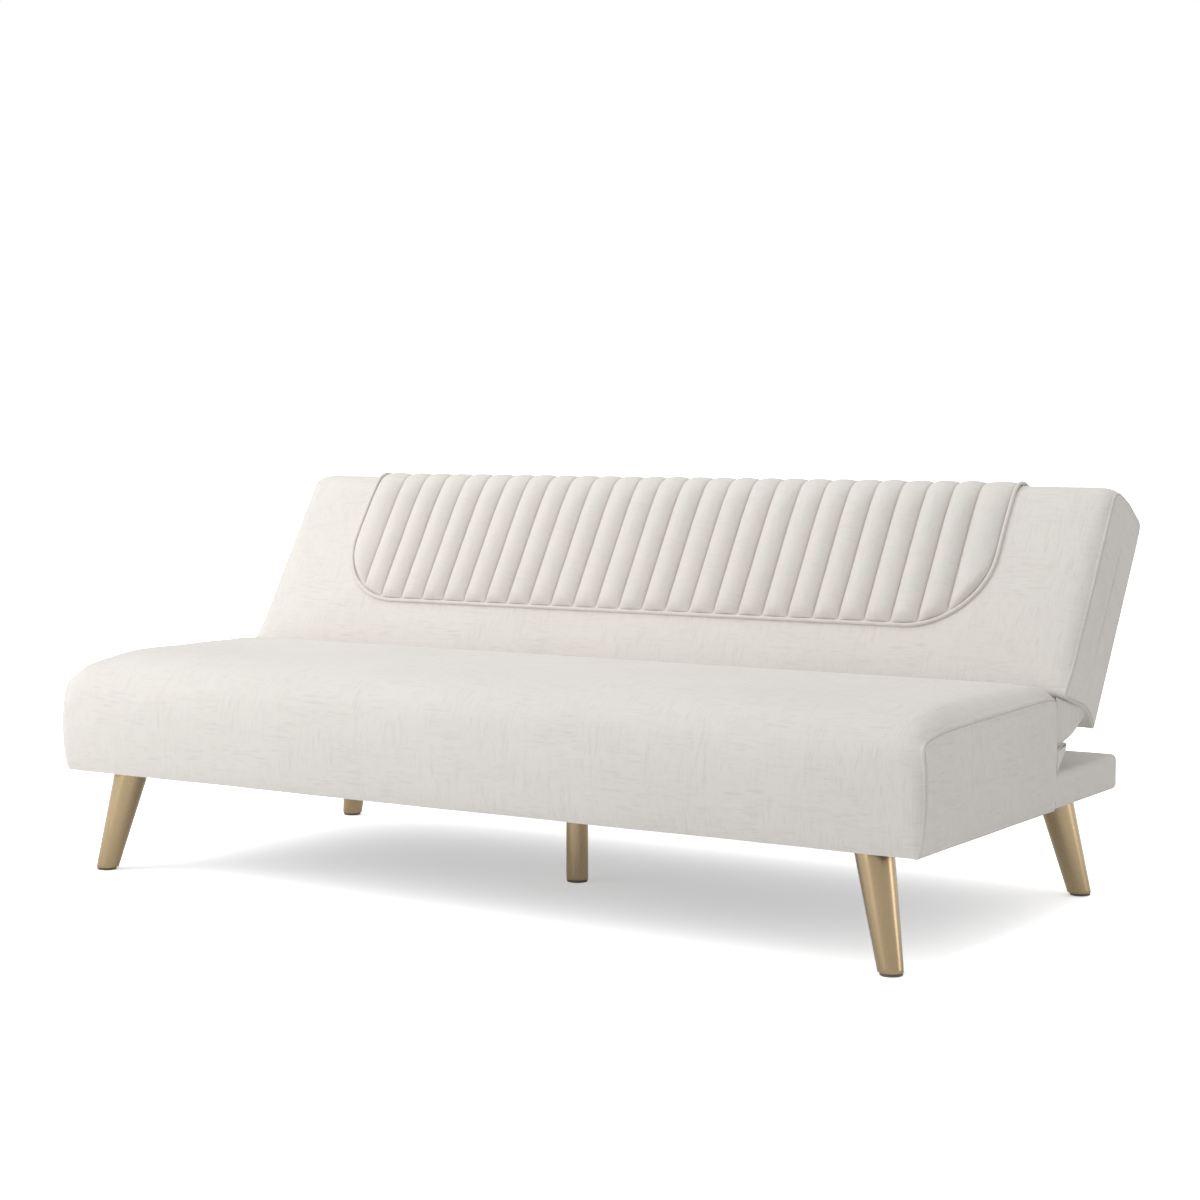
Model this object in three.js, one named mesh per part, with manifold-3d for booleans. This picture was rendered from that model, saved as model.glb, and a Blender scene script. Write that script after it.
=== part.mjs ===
// Click clack sofa bed: an upholstered seat block on splayed metal legs, with a padded back that
// folds down over a low rear ledge on two ratchet hinges. Millimetres, +X along the length,
// +Y towards the back, +Z up, origin on the floor under the middle of the whole piece.
import * as THREE from 'three';
import { mergeVertices } from 'three/addons/utils/BufferGeometryUtils.js';
import Module from 'manifold-3d';

const wasm = await Module();
wasm.setup();

// Driving sizes of the seat block
const seatHalfLength = 890;
const seatDepth = 548;
const undersideHeight = 192;
const seatBlockHeight = 191;
const seatCrown = 21;
const seatFrontRound = 17;
const seatFrontRoundMiddle = 34;
const seatRearRound = 14;
const seatFrontDip = 7;
const seatFrontDipReach = 95;
const seatFrontBulge = 12;
const seatPanelBulge = 12;
const coverThickness = 3;
const fit = 0.4;
const overrun = 30;

// Driving sizes of the ledge behind the seat
const ledgeDepth = 287;
const ledgeHeight = 64;
const ledgeInset = 5;
const ledgeCornerRound = 22;
const ledgeEdgeRound = 7;

// Driving sizes of the back
const backOverhang = 7;
const backHeight = 421;
const backLean = THREE.MathUtils.degToRad(33.5);
const backThickness = 156;
const backThicknessTop = 141;
const backBottomRise = 14;
const backTopRise = 8;
const backCrown = 12;
const backPanelBulge = 9;
const backFrontRoundLow = 15;
const backFrontRoundTop = 24;
const backRearRoundTop = 14;
const backRearRoundLow = 18;
const backBottomArch = 15;
const backSeatGap = 3.5;
const backSeamLift = 6;

// The flat position: the gap that opens behind the seat and the air over the ledge
const bedGap = 26;
const bedClearance = 1.2;

// Channel tufted panel and its piping
const channelCount = 27;
const channelPitch = 52.3;
const channelBorder = 16;
const channelPanelBottom = 115;
const channelCornerLength = 185;
const channelCornerHeight = 145;
const channelCrest = 13;
const channelValley = 3.5;
const channelPanelReach = 104;
const pipingRadius = 3.6;

// Timber frame
const boardThickness = 25;
const railGap = 0.4;
const seatRailHeight = 101;
const seatRearRailSetback = 36;
const ledgeFrameInset = 5;
const deckThickness = 9;
const endBoardWidth = 112;
const endBoardThickness = 18;
const dustCoverThickness = 1.2;
const waddingGap = 1.8;

// Back frame, in the back's own height and thickness
const backBoardThickness = 22;
const backFrameFront = 58;
const backFrameLow = 30;
const backFrameTopPad = 18;
const backFramePad = 5;
const webbingThickness = 2;
const webbingWidth = 55;
const rearPanelThickness = 2.6;
const rearPanelBorder = 26;

// Springs under the seat
const springsPerSide = 3;
const springWireRadius = 1.9;
const springWave = 24;
const springLoops = 8;
const springArch = 3;

// Legs
const legTopRadius = 31;
const legFootRadius = 19.5;
const legWall = 2.2;
const legSplayX = 44;
const legSplayY = 26;
const frontFootInset = 61;
const frontFootSetback = 37;
const rearFootInset = 47;
const rearFootSetback = 34;
const centreLegRadius = 20.5;
const glideThickness = 4;
const glideInset = 1;
const legPlateSize = 84;
const legPlateThickness = 3;
const legPlugDepth = 22;
const legScrewRadius = 5;
const legScrewInset = 12;
const legScrewHeadHeight = 1.6;

// Click clack hinge
const plateThickness = 3;
const runningGap = 0.3;
const pivotRadius = 5.5;
const pivotHeadRadius = 9;
const pivotHeadHeight = 2.2;
const fixedEyeRadius = 17;
const fixedArmHalfWidth = 15;
const fixedBoltFarBack = 110;
const fixedBoltFarUp = 72;
const fixedBoltNearBack = 40;
const fixedBoltNearUp = 88;
const boltRadius = 4;
const boltHeadRadius = 9;
const boltHeadHeight = 3;
const movingArmHalfWidth = 16;
const movingBoltDepth = 92;
const movingBoltNearUp = 98;
const movingBoltFarUp = 196;
const ratchetRadius = 27;
const notchWidth = 7.8;
const notchDepth = 5;
const lockStep = THREE.MathUtils.degToRad(28.25);
const lockCount = 3;
const pawlReach = 24;
const pawlSetback = 4;
const pawlHubRadius = 8;
const pawlPinRadius = 3.2;
const pawlPinHeadRadius = 5.5;
const pawlArmRadius = 4.6;
const pawlToothWidth = 4.4;
const pawlLift = 0.6;
const pawlLugRadius = 9.5;
const pawlSpringWire = 0.7;
const pawlSpringTurns = 3;
const pawlSpringSteps = 8;
const recessClear = 1.5;

// Gap cover between the back and the seat
const gapSheetThickness = 2.4;
const gapCoverInset = 1;
const gapCoverClear = 0.3;
const gapTackWidth = 14;

// Places that follow from the sizes above
const ledgeHalfLength = seatHalfLength - ledgeInset;
const backHalfLength = seatHalfLength + backOverhang;
const wholeDepth = seatDepth + ledgeDepth;
const seatSeamHeight = undersideHeight + seatBlockHeight;
const ledgeTop = undersideHeight + ledgeHeight;
const seatRearRailY = seatDepth - seatRearRailSetback;
const backFrameTop = backHeight - backFrameTopPad;
const channelPanelHalfLength = (channelCount * channelPitch) / 2 + channelBorder;
const fixedBoltFar = [seatDepth - fixedBoltFarBack, undersideHeight + fixedBoltFarUp];
const fixedBoltNear = [seatDepth - fixedBoltNearBack, undersideHeight + fixedBoltNearUp];
const movingBoltNear = [movingBoltDepth, movingBoltNearUp];
const movingBoltFar = [movingBoltDepth, movingBoltFarUp];
const gapCoverHalfLength = ledgeHalfLength - gapCoverInset;
const legPlateUnder = undersideHeight + 2 * fit + dustCoverThickness + legScrewHeadHeight;
const frameBottom = legPlateUnder + legPlateThickness + railGap;
const springHeight = frameBottom + seatRailHeight + springWireRadius + runningGap;
const foamBottom = springHeight + springArch + springWireRadius + fit;

// Planes of the ends, counted inwards from the inside of the ledge's cover
const railOuter = ledgeHalfLength - coverThickness - railGap;
const railInner = railOuter - boardThickness;
const fixedInner = railInner - railGap - plateThickness;
const hingeFaceX = fixedInner - runningGap - plateThickness;
const pinReach = fixedInner + plateThickness + runningGap;
const pawlSpringLength = 2 * pawlSpringWire * (pawlSpringTurns + 1) + pawlSpringTurns * runningGap;
const pawlPinInner = hingeFaceX - 2 * runningGap - pawlSpringLength;
const pawlPinHead = pivotHeadHeight / 2;
const recessInner = pawlPinInner - pawlPinHead - recessClear;
const recessOuter = pinReach + pivotHeadHeight + recessClear;

const colours = {
  linen: ['#e4e0da', 0.95, 0],
  foam: ['#efe7c8', 1, 0],
  timber: ['#c9a877', 0.8, 0],
  felt: ['#2f2e2d', 0.95, 0],
  brass: ['#b39a69', 0.32, 1],
  steel: ['#8f9296', 0.45, 1],
  glide: ['#35312c', 0.7, 0],
  webbing: ['#6d675c', 0.9, 0],
};

// Solids: three.js geometry to a manifold solid and back

function solid(geometry) {
  const bare = geometry.clone();
  for (const name of Object.keys(bare.attributes)) {
    if (name !== 'position') bare.deleteAttribute(name);
  }
  const merged = mergeVertices(bare, 1e-4);
  const triVerts = new Uint32Array(merged.index.array);
  const vertProperties = new Float32Array(merged.attributes.position.array);
  const made = new wasm.Manifold(new wasm.Mesh({ numProp: 3, vertProperties, triVerts }));
  if (made.volume() > 0) return made;
  for (let i = 0; i < triVerts.length; i += 3) {
    [triVerts[i + 1], triVerts[i + 2]] = [triVerts[i + 2], triVerts[i + 1]];
  }
  return new wasm.Manifold(new wasm.Mesh({ numProp: 3, vertProperties, triVerts }));
}

function geometryOf(made) {
  const mesh = made.getMesh();
  const places = new Float32Array(mesh.numVert * 3);
  for (let i = 0; i < mesh.numVert; i += 1) {
    const from = i * mesh.numProp;
    places.set(mesh.vertProperties.subarray(from, from + 3), i * 3);
  }
  const geometry = new THREE.BufferGeometry();
  geometry.setAttribute('position', new THREE.BufferAttribute(places, 3));
  geometry.setIndex(new THREE.BufferAttribute(new Uint32Array(mesh.triVerts), 1));
  const faceted = geometry.toNonIndexed();
  faceted.computeVertexNormals();
  return faceted;
}

const join = (...pieces) => pieces.reduce((a, b) => a.add(b));
const cut = (body, ...tools) => tools.reduce((a, b) => a.subtract(b), body);

function box(x0, x1, y0, y1, z0, z1) {
  const geometry = new THREE.BoxGeometry(x1 - x0, y1 - y0, z1 - z0);
  geometry.translate((x0 + x1) / 2, (y0 + y1) / 2, (z0 + z1) / 2);
  return solid(geometry);
}

// The span between two distances from the middle, on the right (+1) or the left (-1)
const span = (side, near, far) => (side > 0 ? [near, far] : [-far, -near]);

// A flat plate: an outline in Y and Z, as thick as the span between two X values
function plate(shape, [x0, x1], curveSegments) {
  const geometry = new THREE.ExtrudeGeometry(shape, {
    depth: x1 - x0, bevelEnabled: false, steps: 1, curveSegments,
  });
  geometry.applyMatrix4(new THREE.Matrix4().makeBasis(
    new THREE.Vector3(0, 1, 0), new THREE.Vector3(0, 0, 1), new THREE.Vector3(1, 0, 0),
  ));
  geometry.translate(x0, 0, 0);
  return solid(geometry);
}

function polygon(points) {
  return new THREE.Shape(points.map(([a, b]) => new THREE.Vector2(a, b)));
}

// A strap with round ends between two points
function link([ay, az], [by, bz], radius, across) {
  const turn = Math.atan2(bz - az, by - ay);
  const shape = new THREE.Shape();
  shape.absarc(by, bz, radius, turn - Math.PI / 2, turn + Math.PI / 2, false);
  shape.absarc(ay, az, radius, turn + Math.PI / 2, turn + Math.PI * 1.5, false);
  return plate(shape, across, 5);
}

function rod([y, z], radius, [x0, x1], sides = 16) {
  const geometry = new THREE.CylinderGeometry(radius, radius, x1 - x0, sides);
  geometry.rotateZ(Math.PI / 2);
  geometry.translate((x0 + x1) / 2, y, z);
  return solid(geometry);
}

// A skin over rings of points that all have the same count, with a fan at each end
function skin(rings) {
  const count = rings[0].length;
  const places = rings.flat().flatMap((p) => [p.x, p.y, p.z]);
  const faces = [];
  for (let r = 0; r + 1 < rings.length; r += 1) {
    for (let i = 0; i < count; i += 1) {
      const a = r * count + i;
      const b = r * count + ((i + 1) % count);
      faces.push(a, b, b + count, a, b + count, a + count);
    }
  }
  for (const [r, turned] of [[0, true], [rings.length - 1, false]]) {
    const middle = new THREE.Vector3();
    rings[r].forEach((p) => middle.addScaledVector(p, 1 / count));
    const hub = places.length / 3;
    places.push(middle.x, middle.y, middle.z);
    for (let i = 0; i < count; i += 1) {
      const a = r * count + i;
      const b = r * count + ((i + 1) % count);
      faces.push(...(turned ? [hub, b, a] : [hub, a, b]));
    }
  }
  const geometry = new THREE.BufferGeometry();
  geometry.setAttribute('position', new THREE.BufferAttribute(new Float32Array(places), 3));
  geometry.setIndex(faces);
  return solid(geometry);
}

// A round tube along points
function tube(points, radius, sides) {
  const ahead = (i) => points[Math.min(i + 1, points.length - 1)].clone()
    .sub(points[Math.max(i - 1, 0)]).normalize();
  let side = new THREE.Vector3(0, 0, 1).cross(ahead(0));
  if (side.lengthSq() === 0) side = new THREE.Vector3(0, 1, 0);
  const rings = points.map((point, i) => {
    const along = ahead(i);
    side = side.clone().addScaledVector(along, -side.dot(along)).normalize();
    const up = along.clone().cross(side);
    return Array.from({ length: sides }, (_, k) => {
      const turn = (2 * Math.PI * k) / sides;
      return point.clone().addScaledVector(side, radius * Math.cos(turn))
        .addScaledVector(up, radius * Math.sin(turn));
    });
  });
  return skin(rings);
}

// Upholstered blocks: one outline swept along X, with a bulging panel sewn in at each end.
// The crown fades towards the ends and the edges by these powers.

const endPower = 8;
const swellPower = 10;
const edgePower = 4;
const archStartShare = 0.9;
const stationShares = [0, 0.5, 0.72, 0.85, 0.93, 0.98, 1];
const coarseStationShares = [0, 0.72, 0.93, 1];
const panelShares = [0.85, 0.45];
const coarsePanelShares = [0.45];

function mixPoints(from, to, share) {
  return [from[0] + (to[0] - from[0]) * share, from[1] + (to[1] - from[1]) * share];
}

// Points of a closed outline with rounded corners: corners hold [a, b, radius, steps]
function roundedOutline(corners, edgeSteps) {
  const points = [];
  corners.forEach(([a, b, radius, steps], i) => {
    const before = corners[(i + corners.length - 1) % corners.length];
    const after = corners[(i + 1) % corners.length];
    const here = new THREE.Vector2(a, b);
    const toBefore = new THREE.Vector2(before[0], before[1]).sub(here).normalize();
    const toAfter = new THREE.Vector2(after[0], after[1]).sub(here).normalize();
    const start = here.clone().addScaledVector(toBefore, radius);
    const end = here.clone().addScaledVector(toAfter, radius);
    for (let k = 0; k <= steps; k += 1) {
      const t = steps ? k / steps : 0;
      const p = start.clone().multiplyScalar((1 - t) ** 2)
        .addScaledVector(here, 2 * t * (1 - t)).addScaledVector(end, t ** 2);
      points.push([p.x, p.y]);
    }
    const next = new THREE.Vector2(after[0], after[1]);
    const nextStart = next.clone().addScaledVector(
      here.clone().sub(next).normalize(), after[2],
    );
    const run = edgeSteps[i];
    for (let k = 1; k < run; k += 1) {
      points.push(mixPoints([end.x, end.y], [nextStart.x, nextStart.y], k / run));
    }
  });
  return points;
}

function sweepBlock(halfLength, ringAt, middle, bulge, coarse) {
  const shares = coarse ? coarseStationShares : stationShares;
  const panels = coarse ? coarsePanelShares : panelShares;
  const right = [];
  for (const share of shares) {
    right.push(ringAt(share).map(([y, z]) => new THREE.Vector3(share * halfLength, y, z)));
  }
  const seam = ringAt(1);
  for (const share of panels) {
    const x = halfLength + bulge * (1 - share ** 2);
    right.push(seam.map((p) => {
      const [y, z] = mixPoints(middle, p, share);
      return new THREE.Vector3(x, y, z);
    }));
  }
  const left = right.slice(1).reverse().map((ring) => ring.map(
    (p) => new THREE.Vector3(-p.x, p.y, p.z),
  ));
  return skin([...left, ...right]);
}

const fullness = (share, power) => 1 - Math.abs(share) ** power;

// The seat's outline in Y and Z. Inset shrinks it; floor is its lower edge.
function seatRing(share, inset, floor, coarse) {
  const full = fullness(share, endPower);
  const front = inset;
  const rear = seatDepth - inset;
  const top = seatSeamHeight - inset;
  const round = seatFrontRound + (seatFrontRoundMiddle - seatFrontRound) * full;
  const steps = coarse ? [0, 3, 2, 0] : [0, 6, 4, 0];
  const edges = coarse ? [3, 3, 1, 1] : [5, 6, 2, 2];
  const base = roundedOutline([
    [front, floor, 0, steps[0]],
    [front, top, round, steps[1]],
    [rear, top, seatRearRound, steps[2]],
    [rear, floor, 0, steps[3]],
  ], edges);
  return base.map(([y, z]) => {
    const height = (z - undersideHeight) / (seatSeamHeight - undersideHeight);
    const bow = Math.sin(Math.PI * THREE.MathUtils.clamp(height, 0, 1));
    const along = (2 * y) / seatDepth - 1;
    const crown = seatCrown * full * fullness(along, edgePower);
    const dipShare = Math.max(0, 1 - y / seatFrontDipReach);
    const lift = (crown - seatFrontDip * dipShare ** 2) * Math.max(height, 0);
    const swell = seatFrontBulge * fullness(share, swellPower) * bow;
    const frontShare = Math.max(0, 1 - y / (seatDepth / 2));
    return [y - swell * frontShare, z + lift];
  });
}

function seatBlock(inset, floor, coarse) {
  return sweepBlock(
    seatHalfLength - inset, (share) => seatRing(share, inset, floor, coarse),
    [seatDepth / 2, (undersideHeight + seatSeamHeight) / 2], seatPanelBulge, coarse,
  );
}

// The back's own frame: Y through its thickness, Z up its height, zero at the lower front seam
const seatSeamRear = new THREE.Vector2(seatDepth + backSeatGap, seatSeamHeight + backSeamLift);
const backUp = new THREE.Vector2(Math.sin(backLean), Math.cos(backLean));
const backIn = new THREE.Vector2(Math.cos(backLean), -Math.sin(backLean));
const foldAngle = Math.PI / 2 - backLean;

function worldOfBack([v, u]) {
  const p = seatSeamRear.clone().addScaledVector(backIn, v).addScaledVector(backUp, u);
  return [p.x, p.y];
}

function backOfWorld([y, z]) {
  const from = new THREE.Vector2(y, z).sub(seatSeamRear);
  return [from.dot(backIn), from.dot(backUp)];
}

// The pivot is the one point that the fold from upright to flat leaves where it is
const flatSeam = new THREE.Vector2(seatDepth + bedGap, ledgeTop + bedClearance + backThickness);
const seamTravel = flatSeam.clone().sub(seatSeamRear);
const pivotSpread = 1 / (2 * Math.tan(foldAngle / 2));
const pivot = [
  (seatSeamRear.x + flatSeam.x) / 2 + seamTravel.y * pivotSpread,
  (seatSeamRear.y + flatSeam.y) / 2 - seamTravel.x * pivotSpread,
];
const pivotInBack = backOfWorld(pivot);

const rearOfBack = (u) => backThickness + ((backThicknessTop - backThickness) * u) / backHeight;

// The back's outline in its own Y and Z
const lowEdgeSteps = 3;

function backRing(share, inset, coarse) {
  const full = fullness(share, endPower);
  const arch = backBottomArch * Math.max(0, Math.abs(share) - archStartShare) / (1 - archStartShare);
  const steps = coarse ? [2, 2, 1, 2] : [3, 4, 3, 4];
  const edges = coarse ? [4, 1, 1, lowEdgeSteps] : [4, 2, 2, lowEdgeSteps];
  const base = roundedOutline([
    [inset, inset, backFrontRoundLow, steps[0]],
    [inset, backHeight - inset, backFrontRoundTop, steps[1]],
    [backThicknessTop - inset, backHeight + backTopRise - inset, backRearRoundTop, steps[2]],
    [backThickness - inset, backBottomRise + inset, backRearRoundLow, steps[3]],
  ], edges);
  return base.map(([v, u]) => {
    const front = Math.max(0, 1 - (2 * v) / backThickness);
    const upShare = (2 * u) / backHeight - 1;
    const crown = backCrown * full * Math.max(0, fullness(upShare, edgePower)) * front;
    const low = Math.max(0, 1 - u / (2 * backBottomArch + backBottomRise));
    const through = Math.max(0, Math.sin((Math.PI * v) / backThickness));
    return [v - crown, u + arch * low * through];
  });
}

function backBlock(inset, coarse) {
  return sweepBlock(
    backHalfLength - inset, (share) => backRing(share, inset, coarse),
    [backThickness / 2, backHeight / 2], backPanelBulge, coarse,
  );
}

// Scene graph

const root = new THREE.Group();
const sofa = new THREE.Group();
root.add(sofa);
const backGroup = new THREE.Group();
backGroup.position.set(0, seatSeamRear.x, seatSeamRear.y);
backGroup.rotation.x = -backLean;
sofa.add(backGroup);

function add(group, name, made, finish) {
  const [color, roughness, metalness] = colours[finish];
  const material = new THREE.MeshStandardMaterial({ color, roughness, metalness });
  const mesh = new THREE.Mesh(geometryOf(made), material);
  mesh.name = name;
  group.add(mesh);
}

const sides = [['right', 1], ['left', -1]];

// The layers of the hinge arms
const movingPlane = (side) => span(side, hingeFaceX, hingeFaceX + plateThickness);
const fixedPlane = (side) => span(side, fixedInner, fixedInner + plateThickness);

// The ratchet: where the lock line runs from the pivot, and where the pawl turns
const armRun = new THREE.Vector2(fixedBoltNear[0] - pivot[0], fixedBoltNear[1] - pivot[1]).normalize();
const armAcross = new THREE.Vector2(-armRun.y, armRun.x);
const fromPivot = (along, across) => [
  pivot[0] + armRun.x * along + armAcross.x * across,
  pivot[1] + armRun.y * along + armAcross.y * across,
];
const pawlPivot = fromPivot(ratchetRadius + pawlSetback, pawlReach);

// Seat frame

const ledgeRailTop = ledgeTop - coverThickness - fit - deckThickness - railGap;

function sideRail(side) {
  const front = boardThickness / 2;
  const rear = wholeDepth - ledgeFrameInset - boardThickness;
  const step = seatRearRailY + boardThickness + railGap;
  const seatTop = frameBottom + seatRailHeight;
  const board = plate(polygon([
    [front, frameBottom], [rear, frameBottom], [rear, ledgeRailTop], [step, ledgeRailTop],
    [step, seatTop], [front, seatTop],
  ]), span(side, railInner, railOuter));
  const through = span(side, railInner - overrun, railOuter + overrun);
  const holes = [fixedBoltFar, fixedBoltNear].map((at) => rod(at, boltRadius + runningGap, through, 10));
  return cut(board, ...holes);
}

const innerLength = railInner - railGap;
const frontRailY = boardThickness / 2;

function frontRail() {
  return box(-innerLength, innerLength, frontRailY, frontRailY + boardThickness,
    frameBottom, frameBottom + seatRailHeight);
}

// The rear seat rail lies on the end boards and stops short of the hinge arms
function seatRearRail() {
  const half = hingeFaceX - boltHeadHeight - railGap;
  return box(-half, half, seatRearRailY, seatRearRailY + boardThickness,
    frameBottom + endBoardThickness + railGap, frameBottom + seatRailHeight);
}

// The ledge's outline seen from above, from a front line back to its round corners
function ledgeOutline(inset, front) {
  const half = ledgeHalfLength - inset;
  const rear = wholeDepth - inset;
  const round = ledgeCornerRound - inset;
  const shape = new THREE.Shape();
  shape.moveTo(-half, front);
  shape.lineTo(half, front);
  shape.absarc(half - round, rear - round, round, 0, Math.PI / 2, false);
  shape.absarc(-half + round, rear - round, round, Math.PI / 2, Math.PI, false);
  return shape;
}

function ledgeRearRail() {
  const rear = wholeDepth - ledgeFrameInset;
  const half = railOuter - ledgeCornerRound;
  return box(-half, half, rear - boardThickness + railGap, rear, frameBottom, ledgeRailTop);
}

function ledgeDeck() {
  const front = seatRearRailY + boardThickness + 2 * railGap;
  const top = ledgeTop - coverThickness - fit;
  const geometry = new THREE.ExtrudeGeometry(ledgeOutline(ledgeFrameInset, front), {
    depth: deckThickness, bevelEnabled: false, curveSegments: 5,
  });
  geometry.translate(0, 0, top - deckThickness);
  return solid(geometry);
}

// A board under the middle, between the front rail and the rear seat rail
function centreStretcher() {
  return box(-boardThickness, boardThickness,
    frontRailY + boardThickness + railGap, seatRearRailY - railGap,
    frameBottom, frameBottom + seatRailHeight / 2);
}

// A board laid flat inside each side rail, over both legs of that end
function endBoard(side) {
  return box(...span(side, innerLength - endBoardWidth, innerLength),
    frontRailY + boardThickness + railGap, wholeDepth - ledgeFrameInset - boardThickness,
    frameBottom, frameBottom + endBoardThickness);
}

for (const [name, side] of sides) {
  add(sofa, `side_rail_${name}`, sideRail(side), 'timber');
  add(sofa, `end_board_${name}`, endBoard(side), 'timber');
}
add(sofa, 'front_rail', frontRail(), 'timber');
add(sofa, 'seat_rear_rail', seatRearRail(), 'timber');
add(sofa, 'ledge_rear_rail', ledgeRearRail(), 'timber');
add(sofa, 'ledge_deck', ledgeDeck(), 'timber');
add(sofa, 'centre_stretcher', centreStretcher(), 'timber');

// Zigzag springs from the front rail to the rear seat rail, evenly spaced

const springPitch = innerLength / springsPerSide;

function seatSpring(x) {
  const front = frontRailY + springWireRadius;
  const rear = seatRearRailY + boardThickness - springWireRadius;
  const steps = springLoops * 4;
  const points = [];
  for (let i = 0; i <= steps; i += 1) {
    const t = i / steps;
    const turn = Math.PI * springLoops * t;
    const run = t - Math.sin(2 * turn) / (4 * Math.PI * springLoops);
    points.push(new THREE.Vector3(
      x + springWave * Math.sin(turn),
      front + (rear - front) * run,
      springHeight + springArch * Math.sin(Math.PI * t),
    ));
  }
  return tube(points, springWireRadius, 5);
}

for (const [name, side] of sides) {
  for (let i = 0; i < springsPerSide; i += 1) {
    const x = side * springPitch * (i + 0.5);
    add(sofa, `seat_spring_${name}_${i + 1}`, seatSpring(x), 'steel');
  }
}

// Seat upholstery

// The way that the fixed arm and the rim need through cloth and foam
const hingeWay = (side) => join(
  link(fixedBoltNear, pivot, fixedArmHalfWidth + recessClear, span(side, recessInner, recessOuter)),
  rod(pivot, ratchetRadius + recessClear, span(side, recessInner, recessOuter)),
);

function hingeSlot(side) {
  return join(
    box(...span(side, recessInner, recessOuter), fixedBoltNear[0] - 3 * boltHeadRadius, seatDepth + overrun,
      fixedBoltNear[1] - boltHeadRadius, seatSeamHeight - seatRearRound),
    hingeWay(side),
  );
}

function seatCover() {
  const outer = seatBlock(0, undersideHeight, false);
  const inner = seatBlock(coverThickness, undersideHeight - overrun, false);
  const ledgeWay = box(-seatHalfLength + coverThickness, seatHalfLength - coverThickness,
    seatDepth - 2 * coverThickness, seatDepth + overrun, undersideHeight - overrun, ledgeTop + fit);
  const slots = sides.map(([, side]) => hingeSlot(side));
  return cut(outer, inner, ledgeWay, ...slots);
}

function seatFoam() {
  const block = seatBlock(coverThickness + waddingGap, undersideHeight, true);
  const slots = sides.map(([, side]) => hingeSlot(side));
  const below = box(-2 * seatHalfLength, 2 * seatHalfLength, -seatDepth, 2 * seatDepth,
    undersideHeight - overrun, foamBottom);
  return cut(block, below, ...slots);
}

add(sofa, 'seat_cover', seatCover(), 'linen');
add(sofa, 'seat_foam', seatFoam(), 'foam');

// Ledge cover: a low box with round rear corners, open below and towards the seat

function ledgeCover() {
  const outer = new THREE.ExtrudeGeometry(ledgeOutline(ledgeEdgeRound, seatDepth - overrun), {
    depth: ledgeHeight - ledgeEdgeRound, steps: 1, curveSegments: 6,
    bevelEnabled: true, bevelSize: ledgeEdgeRound, bevelThickness: ledgeEdgeRound, bevelSegments: 3,
  });
  outer.translate(0, 0, undersideHeight);
  const inner = new THREE.ExtrudeGeometry(ledgeOutline(coverThickness, seatDepth - overrun), {
    depth: ledgeHeight - coverThickness + overrun, steps: 1, curveSegments: 6, bevelEnabled: false,
  });
  inner.translate(0, 0, undersideHeight - overrun);
  const keep = box(-seatHalfLength, seatHalfLength, seatDepth + fit, seatDepth + 2 * ledgeDepth,
    undersideHeight, ledgeTop + overrun);
  return cut(solid(outer).intersect(keep), solid(inner));
}

add(sofa, 'ledge_cover', ledgeCover(), 'linen');

// Legs

const frontFootX = seatHalfLength - frontFootInset;
const rearFootX = ledgeHalfLength - rearFootInset;
const rearFootY = wholeDepth - rearFootSetback;
const legPlaces = [
  ['front_right', frontFootX, frontFootSetback, 1, -1],
  ['front_left', -frontFootX, frontFootSetback, -1, -1],
  ['rear_right', rearFootX, rearFootY, 1, 1],
  ['rear_left', -rearFootX, rearFootY, -1, 1],
];
const centreLegY = wholeDepth / 2;
const legTop = undersideHeight - fit;
const splayOf = (dirX, dirY) => new THREE.Vector3(-dirX * legSplayX, -dirY * legSplayY, legTop);

// Puts a shape that stands on the origin along +Z onto a foot point, tilted along a splay
function stand(geometry, footX, footY, splay) {
  const tilt = new THREE.Quaternion().setFromUnitVectors(
    new THREE.Vector3(0, 0, 1), splay.clone().normalize(),
  );
  geometry.applyQuaternion(tilt);
  geometry.translate(footX, footY, 0);
  return solid(geometry);
}

function revolved(profile, segments) {
  const geometry = new THREE.LatheGeometry(profile.map(([r, h]) => new THREE.Vector2(r, h)), segments);
  geometry.rotateX(Math.PI / 2);
  return geometry;
}

function taperedLeg(footX, footY, splay) {
  const run = splay.length();
  const spare = legTopRadius;
  const radiusAt = (h) => legFootRadius + ((legTopRadius - legFootRadius) * h) / run;
  const low = -spare;
  const high = run + spare;
  const shell = stand(revolved([
    [0, low], [radiusAt(low), low], [radiusAt(high), high], [radiusAt(high) - legWall, high],
    [radiusAt(spare) - legWall, spare], [0, spare],
  ], 24), footX, footY, splay);
  const reach = legSplayX + legSplayY + 2 * legTopRadius;
  return shell.intersect(box(footX - reach, footX + reach, footY - reach, footY + reach,
    glideThickness + runningGap, legTop));
}

function centreLeg() {
  const low = glideThickness + runningGap;
  return stand(revolved([
    [0, low], [centreLegRadius, low], [centreLegRadius, legTop], [centreLegRadius - legWall, legTop],
    [centreLegRadius - legWall, low + legWall], [0, low + legWall],
  ], 24), 0, centreLegY, new THREE.Vector3(0, 0, 1));
}

function glide(x, y, radius) {
  return stand(revolved([
    [0, 0], [radius - glideInset, 0], [radius, glideInset], [radius, glideThickness], [0, glideThickness],
  ], 18), x, y, new THREE.Vector3(0, 0, 1));
}

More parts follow.
